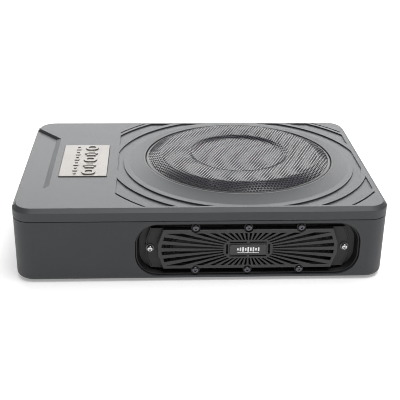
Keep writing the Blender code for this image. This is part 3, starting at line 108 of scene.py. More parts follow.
PANEL_Z = (PANEL_LOW.z + PANEL_HIGH.z) / 2
BAY_HALF = ((PANEL_HIGH.y - PANEL_LOW.y) / 2 - 3 * MM, (PANEL_HIGH.z - PANEL_LOW.z) / 2 - 3 * MM)
SCREW_ROW = WINDOW_HALF[1] - 4.8 * MM
SCREW_PLACES = [(side * 48.5 * MM, row * SCREW_ROW) for row in (1, -1) for side in (-1, 0, 1)]
BOLT_PLACES = [(side * (WINDOW_HALF[0] - 13.7 * MM), 0) for side in (-1, 1)]

FACE_FRONT = Matrix.Rotation(math.radians(90), 4, "X")
FACE_LEFT = Matrix.Rotation(math.radians(-90), 4, "Z") @ FACE_FRONT
AT_DRIVER = Matrix.Translation((AXIS_X, 0, 0))
AT_WINDOW = Matrix.Translation((AXIS_X, 0, WINDOW_Z)) @ FACE_FRONT
AT_PANEL = Matrix.Translation((0, 0, PANEL_Z)) @ FACE_LEFT

# ---------------------------------------------------------------- colours


def srgb(text):
    """Linear colour from an sRGB hex value such as "8a8f94"."""
    values = [int(text[k : k + 2], 16) / 255 for k in (0, 2, 4)]
    return tuple(v / 12.92 if v <= 0.04045 else ((v + 0.055) / 1.055) ** 2.4 for v in values)


class SubwooferSizes(bpy.types.PropertyGroup):
    """Sizes of the visible detail."""

    edge: FloatProperty(
        name="Edge rounding", description="Rounding of the cover's cut edges", unit="LENGTH",
        default=0.35 * MM,
    )
    groove_depth: FloatProperty(
        name="Groove depth", description="Depth of the rings around the grille", unit="LENGTH",
        default=1.5 * MM,
    )
    hole_pitch: FloatProperty(
        name="Hole pitch", description="Distance between the grille's holes", unit="LENGTH",
        default=3.0 * MM,
    )
    hole_width: FloatProperty(
        name="Hole width", description="Width of the grille's holes", default=2.7 * MM, unit="LENGTH"
    )
    slots: IntProperty(name="Slots", description="Slots fanned round the front cover", default=40, min=8)


class SubwooferColours(bpy.types.PropertyGroup):
    """Colours of the finishes."""

    cover: FloatVectorProperty(
        name="Cover", description="Textured paint of the cover", subtype="COLOR", default=srgb("37393c")
    )
    tub: FloatVectorProperty(
        name="Tub", description="Moulded plastic of the tub", subtype="COLOR", default=srgb("2b2d30")
    )
    mesh: FloatVectorProperty(
        name="Grille", description="Coat of the punched grille", subtype="COLOR", default=srgb("403f45")
    )
    plate: FloatVectorProperty(
        name="Plate", description="Brushed metal of the name plate", subtype="COLOR", default=srgb("83807d")
    )
    front: FloatVectorProperty(
        name="Front cover", description="Moulded slotted cover", subtype="COLOR", default=srgb("2c2c2d")
    )
    accent: FloatVectorProperty(
        name="Knobs", description="Moulded knobs", subtype="COLOR", default=srgb("6b6d70")
    )


def sizes():
    """The sizes that the panel shows."""
    return bpy.context.scene.subwoofer_sizes


def colours():
    """The colours that the panel shows."""
    return bpy.context.scene.subwoofer_colours


# ---------------------------------------------------------------- outlines


def rounded_rectangle(half_x, half_y, radius, steps=12):
    """Rounded rectangle, counter-clockwise, as (x, y) points."""
    points = []
    for turn, (side_x, side_y) in enumerate(((1, 1), (-1, 1), (-1, -1), (1, -1))):
        for step in range(steps + 1):
            angle = math.pi / 2 * (turn + step / steps)
            x = side_x * (half_x - radius) + radius * math.cos(angle)
            y = side_y * (half_y - radius) + radius * math.sin(angle)
            points.append((x, y))
    return points


def cut_corner_rectangle(half_x, half_y, cut_x, cut_y):
    """Rectangle with its four corners cut off."""
    x, y = half_x - cut_x, half_y - cut_y
    right = [(half_x, -y), (half_x, y), (x, half_y)]
    left = [(-x, half_y), (-half_x, y), (-half_x, -y), (-x, -half_y)]
    return right + left + [(x, -half_y)]


def circle(radius, segments, centre=(0, 0)):
    """Points of a circle, counter-clockwise."""
    angles = [2 * math.pi * k / segments for k in range(segments)]
    return [(centre[0] + radius * math.cos(a), centre[1] + radius * math.sin(a)) for a in angles]


def level(outline, z):
    """Puts an outline at a height."""
    return [(x, y, z) for x, y in outline]


def quarter_round(radius, steps):
    """(run, rise) pairs round a quarter fillet, from its vertical side to its flat side."""
    angles = [math.pi / 2 * k / steps for k in range(steps + 1)]
    return [(radius * (1 - math.cos(a)), radius * math.sin(a)) for a in angles]


def smooth_curve(points, steps):
    """More (r, z) points along a smooth line through the given ones, with no overshoot in z."""
    slopes = []
    for k in range(len(points)):
        before, after = points[max(k - 1, 0)], points[min(k + 1, len(points) - 1)]
        rises = [points[j + 1][1] - points[j][1] for j in (k - 1, k) if 0 <= j < len(points) - 1]
        turns = len(rises) == 2 and rises[0] * rises[1] <= 0
        slopes.append(0.0 if turns else (after[1] - before[1]) / (after[0] - before[0]))
    result = []
    for k in range(len(points) - 1):
        (x0, y0), (x1, y1) = points[k], points[k + 1]
        run = x1 - x0
        for step in range(steps):
            t = step / steps
            low = (2 * t**3 - 3 * t**2 + 1) * y0 + (t**3 - 2 * t**2 + t) * run * slopes[k]
            high = (3 * t**2 - 2 * t**3) * y1 + (t**3 - t**2) * run * slopes[k + 1]
            result.append((x0 + run * t, low + high))
    result.append(points[-1])
    return result


# ---------------------------------------------------------------- meshes


def skin(rings, closed=False):
    """Quads between rings of equal length; the two ends are capped, or joined when closed."""
    mesh = bmesh.new()
    loops = [[mesh.verts.new(point) for point in ring] for ring in rings]
    count = len(loops[0])
    pairs = list(zip(loops, loops[1:]))
    if closed:
        pairs.append((loops[-1], loops[0]))
    else:
        mesh.faces.new(loops[0])
        mesh.faces.new(loops[-1])
    for low, high in pairs:
        for k in range(count):
            mesh.faces.new((low[k], low[(k + 1) % count], high[(k + 1) % count], high[k]))
    bmesh.ops.recalc_face_normals(mesh, faces=mesh.faces)
    return mesh


def prism(outline, low, high):
    """Upright solid over an outline."""
    return skin([level(outline, low), level(outline, high)])


def softened(outline_at, low, high, edge, steps=3):
    """Upright solid whose upper rim is rounded. outline_at(inset) gives its outline drawn in."""
    rings = [level(outline_at(0), low)]
    for run, rise in quarter_round(edge, steps):
        rings.append(level(outline_at(run), high - edge + rise))
    return skin(rings)


def block(size_x, size_y, low, high, centre=(0, 0)):
    """Upright block."""
    half_x, half_y = size_x / 2, size_y / 2
    corners = ((half_x, -half_y), (half_x, half_y), (-half_x, half_y), (-half_x, -half_y))
    return prism([(centre[0] + x, centre[1] + y) for x, y in corners], low, high)


def rod(radius, low, high, centre=(0, 0), segments=40):
    """Upright cylinder."""
    return prism(circle(radius, segments, centre), low, high)


def lathe(profile, segments=96):
    """Turns a closed (radius, z) profile about Z. Points on the axis become poles."""
    mesh = bmesh.new()
    rings = []
    for radius, z in profile:
        if radius < 1e-7:
            rings.append([mesh.verts.new((0, 0, z))])
        else:
            rings.append([mesh.verts.new(point) for point in level(circle(radius, segments), z)])
    for ring, after in zip(rings, rings[1:] + rings[:1]):
        for k in range(segments):
            corners = [ring[k % len(ring)], ring[(k + 1) % len(ring)]]
            corners += [after[(k + 1) % len(after)], after[k % len(after)]]
            unique = list(dict.fromkeys(corners))
            if len(unique) > 2:
                mesh.faces.new(unique)
    bmesh.ops.recalc_face_normals(mesh, faces=mesh.faces)
    return mesh


def moved(mesh, matrix):
    """The same mesh, transformed."""
    bmesh.ops.transform(mesh, matrix=matrix, verts=mesh.verts)
    return mesh


def combined(meshes):
    """One mesh that holds separate closed shapes."""
    whole = bmesh.new()
    for mesh in meshes:
        part = bpy.data.meshes.new("part")
        mesh.to_mesh(part)
        mesh.free()
        whole.from_mesh(part)
        bpy.data.meshes.remove(part)
    return whole


# ---------------------------------------------------------------- pieces


def new_object(name, mesh):
    """Links an object that holds the mesh, and frees the mesh."""
    data = bpy.data.meshes.new(name)
    mesh.to_mesh(data)
    mesh.free()
    made = bpy.data.objects.new(name, data)
    bpy.context.scene.collection.objects.link(made)
    return made


def settle(made):
    """Applies an object's modifiers to its mesh."""
    graph = bpy.context.evaluated_depsgraph_get()
    data = bpy.data.meshes.new_from_object(made.evaluated_get(graph))
    made.modifiers.clear()
    old = made.data
    made.data = data
    bpy.data.meshes.remove(old)


def piece(name, mesh, material, steps=(), edge=0.0, place=None, body=HOUSING, stands_for=(), sharp=38,
          crease=46):
    """A finished piece: joins and cuts, rounded edges, even shading, its material and its body."""
    made = new_object(name, mesh)
    tools = []
    for operation, tool_mesh in steps:
        tool = new_object(name + "_tool", tool_mesh)
        modifier = made.modifiers.new("shape", "BOOLEAN")
        modifier.operation = operation
        modifier.solver = "EXACT"
        modifier.object = tool
        tools.append(tool)
    if edge:
        bevel = made.modifiers.new("edges", "BEVEL")
        bevel.width = edge
        bevel.segments = 2
        bevel.limit_method = "ANGLE"
        bevel.angle_limit = math.radians(sharp)
    if made.modifiers:
        settle(made)
    for tool in tools:
        data = tool.data
        bpy.data.objects.remove(tool)
        bpy.data.meshes.remove(data)
    made.data.shade_smooth()
    made.data.set_sharp_from_angle(angle=math.radians(crease))
    even = made.modifiers.new("even", "WEIGHTED_NORMAL")
    even.keep_sharp = True
    settle(made)
    made.data.materials.clear()
    made.data.materials.append(material)
    if place is not None:
        made.matrix_world = place
    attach(made, body)
    if stands_for:
        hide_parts(*stands_for)
    return made


# ---------------------------------------------------------------- materials

# Colour drifts over about this width on every piece: the faint unevenness of any coat or moulding.
DRIFT_WIDTH = 28 * MM
# Nearly all values of the noise lie between these two.
NOISE_RANGE = (0.3, 0.7)
# A wave texture of scale 1 repeats every 0.31 m. These draw 2.8 mm bands for wire that is really 0.3 mm
# thick, and threads 2 mm apart for cotton that is really woven at 0.5 mm, so that they show.
WIRE_BAND = 9 * MM
THREAD_BAND = 6.3 * MM


def add_node(tree, kind, inputs=None, **settings):
    """Adds a node. An input is a value, or the (node, output name) that it is linked from."""
    made = tree.nodes.new(kind)
    for name, value in settings.items():
        setattr(made, name, value)
    for name, value in (inputs or {}).items():
        if isinstance(value, tuple) and len(value) == 2 and isinstance(value[0], bpy.types.Node):
            tree.links.new(value[0].outputs[value[1]], made.inputs[name])
        else:
            made.inputs[name].default_value = value
    return made


def surface(name, roughness, metallic=0.0, ior=1.5, coat=0.0, sheen=0.0):
    """A material with its Principled shader and object coordinates, ready for its pattern."""
    material = bpy.data.materials.new(name)
    material.use_nodes = True
    tree = material.node_tree
    tree.nodes.clear()
    place = add_node(tree, "ShaderNodeTexCoord")
    shader = add_node(tree, "ShaderNodeBsdfPrincipled")
    shader.inputs["Roughness"].default_value = roughness
    shader.inputs["Metallic"].default_value = metallic
    shader.inputs["IOR"].default_value = ior
    shader.inputs["Coat Weight"].default_value = coat
    shader.inputs["Sheen Weight"].default_value = sheen
    add_node(tree, "ShaderNodeOutputMaterial", {"Surface": (shader, "BSDF")})
    return material, tree, place, shader


def grain(tree, place, shader, colour, variation, size, height, spread=0.0, detail=2.0, stretch=(1, 1, 1)):
    """Colour that drifts and a fine bump; spread also breaks up the gloss. Returns the bump."""
    where = add_node(tree, "ShaderNodeMapping", {"Vector": (place, "Object"), "Scale": stretch})
    fine_scale = {"Vector": (where, "Vector"), "Scale": 1 / size, "Detail": detail}
    fine = add_node(tree, "ShaderNodeTexNoise", fine_scale)
    broad_scale = {"Vector": (place, "Object"), "Scale": 1 / DRIFT_WIDTH, "Detail": 3.0}
    broad = add_node(tree, "ShaderNodeTexNoise", broad_scale)
    ramp = add_node(tree, "ShaderNodeValToRGB", {"Fac": (broad, "Fac")})
    for stop, position, change in zip(ramp.color_ramp.elements, NOISE_RANGE, (-variation, variation)):
        stop.position = position
        stop.color = (*(min(1.0, c * (1 + change)) for c in colour[:3]), 1)
    tree.links.new(ramp.outputs["Color"], shader.inputs["Base Color"])
    if spread:
        middle = shader.inputs["Roughness"].default_value
        span = {"From Min": NOISE_RANGE[0], "From Max": NOISE_RANGE[1]}
        span.update({"To Min": middle - spread, "To Max": middle + spread})
        rough = add_node(tree, "ShaderNodeMapRange", {"Value": (fine, "Fac"), **span})
        tree.links.new(rough.outputs["Result"], shader.inputs["Roughness"])
    bump = add_node(tree, "ShaderNodeBump", {"Height": (fine, "Fac"), "Distance": height, "Strength": 1.0})
    tree.links.new(bump.outputs["Normal"], shader.inputs["Normal"])
    return bump


def finish(name, colour, roughness, variation, size, height, spread=0.0, detail=2.0, stretch=(1, 1, 1),
           **shine):
    """A grained material. shine is the metallic, ior, coat and sheen of its surface."""
    material, tree, place, shader = surface(name, roughness, **shine)
    grain(tree, place, shader, colour, variation, size, height, spread, detail, stretch)
    return material


def wound_copper():
    """Enamelled copper wire, wound turn on turn: fine bands across the winding."""
    material, tree, place, shader = surface("wound_copper", 0.3, metallic=1.0)
    bump = grain(tree, place, shader, srgb("c06a3c"), 0.1, 1.5 * MM, 0.01 * MM)
    pattern = {"Vector": (place, "Object"), "Scale": 1 / WIRE_BAND, "Distortion": 0.3}
    turns = add_node(tree, "ShaderNodeTexWave", pattern, bands_direction="Z")
    relief = {"Height": (turns, "Fac"), "Distance": 0.15 * MM, "Normal": (bump, "Normal")}
    wound = add_node(tree, "ShaderNodeBump", relief)
    tree.links.new(wound.outputs["Normal"], shader.inputs["Normal"])
    return material


def dipped_cotton():
    """Resin-dipped plain weave of the spider: amber, dull, with crossing threads."""
    material, tree, place, shader = surface("dipped_cotton", 0.85, sheen=0.2)
    bump = grain(tree, place, shader, srgb("b48a3c"), 0.12, 1.2 * MM, 0.03 * MM)
    for direction in ("X", "Y"):
        pattern = {"Vector": (place, "Object"), "Scale": 1 / THREAD_BAND}
        threads = add_node(tree, "ShaderNodeTexWave", pattern, bands_direction=direction)
        relief = {"Height": (threads, "Fac"), "Distance": 0.1 * MM, "Normal": (bump, "Normal")}
        bump = add_node(tree, "ShaderNodeBump", relief)
    tree.links.new(bump.outputs["Normal"], shader.inputs["Normal"])
    return material


def make_finishes():
    """Every finish of the object, by a short key."""
    paint = colours()
    return {
        # Cast aluminium with a sprayed, textured powder coat: an even satin grey, faintly
        # pebbled. The pebbles are really 0.3 mm and are drawn at 0.9 mm to show.
        "cover": finish("textured_powder_coat", paint.cover, 0.5, 0.05, 0.9 * MM, 0.03 * MM, spread=0.06),
        # Injection-moulded ABS from a spark-eroded tool: the same grey, a little darker and duller.
        "tub": finish("spark_textured_abs", paint.tub, 0.52, 0.05, 0.8 * MM, 0.03 * MM, spread=0.06,
                      ior=1.54),
        # Punched steel sheet under a smooth powder coat: its thin lands catch the light between dark holes.
        "mesh": finish("powder_coated_punched_steel", paint.mesh, 0.24, 0.05, 0.6 * MM, 0.004 * MM),
        # Zinc plate, brushed lengthways: hair lines blur what it mirrors into a soft pale sheen.
        "plate": finish("brushed_zinc", paint.plate, 0.5, 0.05, 0.5 * MM, 0.006 * MM, spread=0.1,
                        stretch=(6, 0.12, 1), metallic=1.0),
        # Glass-filled ABS, moulded matt: a dry near-black on the slotted cover.
        "front": finish("matt_moulded_abs", paint.front, 0.5, 0.06, 0.7 * MM, 0.02 * MM, spread=0.06,
                        ior=1.54),
        # ABS moulded black: deeper than the slotted cover, with blurred highlights along its edges.
        "frame": finish("black_moulded_abs", srgb("0b0a0a"), 0.55, 0.08, 1.5 * MM, 0.01 * MM, ior=1.54),
        # Black lacquer over the badge: a deep, wet gloss.
        "lacquer": finish("black_lacquer", srgb("0d0d0e"), 0.12, 0.05, 4 * MM, 0.002 * MM, coat=0.6),
        # Hot-stamped silver foil: bright flat marks on the lacquer.
        "foil": finish("silver_foil", srgb("f2f2f2"), 0.25, 0.02, 0.6 * MM, 0.002 * MM),
        # Turned steel, blackened: dark heads with small sharp highlights.
        "black_steel": finish("black_oxide_steel", srgb("57575c"), 0.16, 0.1, 0.6 * MM, 0.004 * MM,
                              metallic=0.85),
        # Turned steel, bright zinc-plated: white metal points at the ends of the window.
        "steel": finish("bright_zinc_steel", srgb("d6d6d4"), 0.18, 0.05, 0.6 * MM, 0.003 * MM,
                        metallic=1.0),
        # Pressed steel, zinc-plated and passivated: a duller, faintly yellow metal on the magnet's plates.
        "zinc": finish("zinc_plated_steel", srgb("b4b3a6"), 0.35, 0.08, 1.2 * MM, 0.006 * MM, metallic=1.0),
        # Moulded rubber of the feet, the gasket and the surrounds: soft black with a dusty sheen.
        "rubber": finish("moulded_rubber", srgb("1f1f20"), 0.75, 0.12, 0.8 * MM, 0.03 * MM, sheen=0.15),
        # Die-cut closed-cell foam: dull black with open pores at the cut.
        "foam": finish("closed_cell_foam", srgb("242424"), 0.95, 0.2, 0.7 * MM, 0.15 * MM),
        # Pressed paper pulp, dyed black: felted and quite matt.
        "paper": finish("pressed_pulp", srgb("232326"), 0.85, 0.15, 1.2 * MM, 0.05 * MM, detail=6.0),
        # Polypropylene sheet, vacuum-formed into the dust cap: smooth black with a soft highlight.
        "cap": finish("vacuum_formed_cap", srgb("1d1d20"), 0.35, 0.06, 2 * MM, 0.01 * MM),
        # Pressed steel under baked enamel: a slightly wavy black gloss.
        "enamel": finish("baked_enamel", srgb("151516"), 0.4, 0.08, 1.5 * MM, 0.02 * MM),
        # Sintered ferrite, ground flat: charcoal grey, dull and granular.
        "ferrite": finish("sintered_ferrite", srgb("2a2a2d"), 0.65, 0.15, 1 * MM, 0.05 * MM),
        # Steel sheet with a silk-black coat: the quiet ground behind the controls.
        "panel": finish("silk_black_panel", srgb("1b1c1e"), 0.45, 0.06, 0.8 * MM, 0.015 * MM, spread=0.05),
        # Moulded nylon: the black of sockets and switches, a little waxy.
        "socket": finish("black_nylon", srgb("111113"), 0.4, 0.08, 1 * MM, 0.015 * MM),
        # ABS with a soft-touch coat: mid-grey knobs without glare.
        "knob": finish("soft_touch_plastic", paint.accent, 0.55, 0.05, 0.6 * MM, 0.015 * MM),
        # Screen-printed ink: crisp off-white scale marks.
        "ink": finish("screen_print_ink", srgb("d8d8d4"), 0.6, 0.04, 0.5 * MM, 0.002 * MM),
        # Polycarbonate, moulded clear amber: the glossy fuse.
        "fuse": finish("amber_polycarbonate", srgb("e09a1c"), 0.15, 0.06, 3 * MM, 0.003 * MM, ior=1.58,
                       coat=0.3),
        # Brass with a gold flash: warm bright contact pins.
        "gold": finish("gold_flash", srgb("e0b660"), 0.2, 0.04, 0.7 * MM, 0.003 * MM, metallic=1.0),
        # Turned brass, nickel-plated: the warm silver of the jacks.
        "nickel": finish("nickel_plate", srgb("c9c6bd"), 0.2, 0.05, 0.7 * MM, 0.003 * MM, metallic=1.0),
        # Moulded nylon, uncoloured: the left jack's milky insert.
        "dielectric": finish("white_nylon", srgb("e6e2d8"), 0.45, 0.04, 1 * MM, 0.005 * MM),
        # Moulded nylon, dyed red: the right jack's insert.
        "red": finish("red_nylon", srgb("b3201c"), 0.4, 0.05, 1 * MM, 0.005 * MM),
        # Diffusing epoxy of the lamp: a smooth blue bead.
        "lens": finish("diffusing_lens", srgb("3f63d8"), 0.2, 0.05, 1 * MM, 0.003 * MM, coat=0.3),
        # Glass-fibre board under green solder mask: slightly glossy over the weave.
        "board": finish("solder_mask", srgb("1c5a34"), 0.35, 0.15, 1.2 * MM, 0.03 * MM),
        # Extruded aluminium: bright, with die lines along the fins.
        "fins": finish("extruded_aluminium", srgb("c8c9cb"), 0.35, 0.05, 0.5 * MM, 0.006 * MM,
                       stretch=(0.1, 4, 4), metallic=1.0),
        # Shrunk PVC sleeve round the capacitors: dark blue with a tight gloss.
        "sleeve": finish("shrink_sleeve", srgb("1b2240"), 0.3, 0.08, 2 * MM, 0.01 * MM),
        "copper": wound_copper(),
        "cloth": dipped_cotton(),
    }


FINISHES = {}


def finish_of(key):
    """The finish with this key; all of them are made when the first is asked for."""
    if not FINISHES:
        FINISHES.update(make_finishes())
    return FINISHES[key]


# ---------------------------------------------------------------- cover and tub

GROOVES = ((22.6 * MM, 7.7 * MM), (36.1 * MM, 12.8 * MM), (52.5 * MM, 1.7 * MM))
GROOVE_HALF = (BODY_HALF[0] - AXIS_X - 7.5 * MM, BODY_FRONT - 6.5 * MM)
SCOOP_REACH = 29.2 * MM
SCOOP_INNER_HALF = 65 * MM
SCOOP_FLARE = 1.22
SCOOP_DEPTH = 3 * MM
SCOOP_SIDE_RUN = 2.6 * MM
SCOOP_INNER_RUN = 5.5 * MM
BEZEL_RUN = 16 * MM
LIP_WIDTH = 1.6 * MM
GRILLE_SEAT = Z_TOP + 0.4 * MM
OPENING_RADIUS = GRILLE_RADIUS - 4.2 * MM


def body_ring(inset, z, steps=12):
    """Outline of the body at a height, drawn in by an inset."""
    radius = max(BODY_CORNER - inset, 2 * MM)
    return level(rounded_rectangle(BODY_HALF[0] - inset, BODY_HALF[1] - inset, radius, steps), z)


def tub_inset(z):
    """How far the tapered wall of the tub stands in at a height."""
    return TUB_INSET + TUB_DRAFT * (Z_PART - z) / (Z_PART - Z_BOTTOM)


def window_outline(inset, steps=14):
    """Outline of the front window, drawn in by an inset."""
    return rounded_rectangle(WINDOW_HALF[0] - inset, WINDOW_HALF[1] - inset, WINDOW_CORNER - inset, steps)


def race_outline(half_x, half_y, steps=12):
    """Outline with almost half-round ends."""
    return rounded_rectangle(half_x, half_y, half_y - 0.2 * MM, steps)


def post_places():
    """Places of the six cover screws."""
    x, y = BODY_HALF[0] - 15.5 * MM, BODY_HALF[1] - 16 * MM
    middle = AXIS_X - WINDOW_HALF[0] - 11.5 * MM
    return [(sx * x, sy * y) for sx in (-1, 1) for sy in (-1, 1)] + [(middle, sy * y) for sy in (-1, 1)]


def groove_outlines(inner, outer):
    """Outlines of the ring between two radii, clipped to the rectangle GROOVE_HALF about the axis."""
    limit_x, limit_y = GROOVE_HALF

    def reach(angle):
        over_x = limit_x / max(abs(math.cos(angle)), 1e-9)
        over_y = limit_y / max(abs(math.sin(angle)), 1e-9)
        return min(outer, over_x, over_y)

    breaks = {0.0, math.pi / 2}
    for radius in (inner, outer):
        for limit, bend in ((limit_x, math.acos), (limit_y, math.asin)):
            if radius > limit:
                breaks.add(bend(limit / radius))
    edges = sorted(breaks)
    quarter = []
    for low, high in zip(edges, edges[1:]):
        if reach((low + high) / 2) <= inner + 0.2 * MM:
            continue
        steps = max(3, round((high - low) / math.radians(1.5)))
        angles = [low + (high - low) * k / steps for k in range(steps + 1)]
        quarter += angles if not quarter else angles[1:]
    sweeps = [quarter, [math.pi - a for a in reversed(quarter)]]
    sweeps += [[math.pi + a for a in quarter], [2 * math.pi - a for a in reversed(quarter)]]
    if quarter[0] == 0.0:
        sweeps = [sweeps[3] + [2 * math.pi + a for a in quarter[1:]], sweeps[1] + sweeps[2][1:]]
    outlines = []
    for angles in sweeps:
        rim = [(reach(a) * math.cos(a), reach(a) * math.sin(a)) for a in angles]
        last = len(rim) - 1
        rim = [p for k, p in enumerate(rim) if math.hypot(*p) > inner + 0.02 * MM or k in (0, last)]
        core = [(inner * math.cos(a), inner * math.sin(a)) for a in reversed(angles)]
        if math.dist(rim[-1], core[0]) < 0.05 * MM:
            rim.pop()
        if math.dist(rim[0], core[-1]) < 0.05 * MM:
            rim.pop(0)
        outlines.append(rim + core)
    return outlines


def scoop_solid(grow, low, high):
    """Trapezoid at the left edge with sloping sides."""
    edge = -BODY_HALF[0]
    rings = []
    for z in (low, high):
        rise = (z - (Z_TOP - SCOOP_DEPTH)) / SCOOP_DEPTH
        inner_x = edge + SCOOP_REACH - SCOOP_INNER_RUN * (1 - rise) + grow
        half = SCOOP_INNER_HALF - SCOOP_SIDE_RUN * (1 - rise) + grow
        half += SCOOP_FLARE * SCOOP_INNER_RUN * (1 - rise)
        outer_x = edge + (COVER_WALL / 2 if grow else -6 * MM)
        flare = half + SCOOP_FLARE * (inner_x - outer_x)
        rings.append(level([(inner_x, half), (outer_x, flare), (outer_x, -flare), (inner_x, -half)], z))
    return skin(rings)


def bezel_ring():
    """Raised ring around the grille: a hollow slope up to a thin rolled lip, and the grille's ledge."""
    lip_outer = GRILLE_RADIUS + 0.4 * MM + LIP_WIDTH
    z_lip = Z_TOP + LIP_HEIGHT
    slope = LIP_HEIGHT / BEZEL_RUN
    sunk = COVER_PLATE / 3
    profile = [
        (OPENING_RADIUS, Z_TOP - COVER_PLATE - 0.4 * MM),
        (GRILLE_RADIUS + 12 * MM, Z_TOP - COVER_PLATE - 0.4 * MM),
        (GRILLE_RADIUS + 12 * MM, Z_TOP - COVER_PLATE / 2),
        (lip_outer + BEZEL_RUN + sunk / slope, Z_TOP - sunk),
    ]
    for k in range(1, 9):
        share = k / 8
        radius = lip_outer + 1.1 * MM + (BEZEL_RUN - 1.1 * MM) * (1 - share)
        profile.append((radius, Z_TOP + (LIP_HEIGHT - 0.5 * MM) * (0.8 * share + 0.2 * share**2)))
    profile += [(lip_outer + 0.4 * MM, z_lip - 0.18 * MM), (lip_outer - 0.2 * MM, z_lip)]
    profile += [(GRILLE_RADIUS + 0.9 * MM, z_lip), (GRILLE_RADIUS + 0.55 * MM, z_lip - 0.15 * MM)]
    profile += [(GRILLE_RADIUS + 0.4 * MM, z_lip - 0.5 * MM), (GRILLE_RADIUS + 0.4 * MM, GRILLE_SEAT)]
    profile.append((OPENING_RADIUS, GRILLE_SEAT))
    return moved(lathe(profile, TURNED_STEPS), AT_DRIVER)


def build_cover():
    """Cast cover: chamfered shell with its bezel, grooves, scoop and the pocket for the plate."""
    under = Z_TOP - COVER_PLATE
    rings = [body_ring(COVER_WALL + 3.4 * MM, under), body_ring(COVER_WALL + 2.2 * MM, under - 1.2 * MM)]
    rings += [body_ring(COVER_WALL + 2.2 * MM, Z_PART + 4.4 * MM), body_ring(COVER_WALL, Z_PART + 4.4 * MM)]
    rings += [body_ring(COVER_WALL, Z_PART), body_ring(0.35 * MM, Z_PART), body_ring(0, Z_PART + 0.35 * MM)]
    for run, drop in ((0, 1.0), (0.02, 0.93), (0.09, 0.86), (0.86, 0.09), (0.93, 0.02), (1.0, 0)):
        rings.append(body_ring(run * COVER_CHAMFER, Z_TOP - drop * COVER_CHAMFER))
    opening = [(0, Z_TOP + 9 * MM), (GRILLE_RADIUS + 6 * MM, Z_TOP + 9 * MM)]
    opening += [(GRILLE_RADIUS + 6 * MM, Z_PART), (0, Z_PART)]
    under_scoop = scoop_solid(COVER_PLATE, Z_TOP - SCOOP_DEPTH - COVER_PLATE, Z_TOP - SCOOP_DEPTH / 2)
    sunk = []
    for start, width in GROOVES:
        for outline in groove_outlines(GRILLE_RADIUS + start, GRILLE_RADIUS + start + width):
            sunk.append(prism([(x + AXIS_X, y) for x, y in outline], Z_TOP - sizes().groove_depth,
                              Z_TOP + 3 * MM))
    middle = ((PLATE_LOW.x + PLATE_HIGH.x) / 2, 0)
    plate = (PLATE_HIGH.x - PLATE_LOW.x + 2 * GAP, PLATE_HIGH.y - PLATE_LOW.y + 2 * GAP)
    sunk.append(block(*plate, PLATE_LOW.z - GAP, Z_TOP + 3 * MM, middle))
    sunk.append(scoop_solid(0, Z_TOP - SCOOP_DEPTH, Z_TOP + SCOOP_DEPTH))
    steps = [
        ("UNION", under_scoop),
        ("DIFFERENCE", moved(lathe(opening, TURNED_STEPS), AT_DRIVER)),
        ("UNION", bezel_ring()),
        ("DIFFERENCE", combined(sunk)),
    ]
    piece("cover_shell", skin(rings), finish_of("cover"), steps, sizes().edge,
          stands_for=["top_cover"], sharp=30, crease=15)


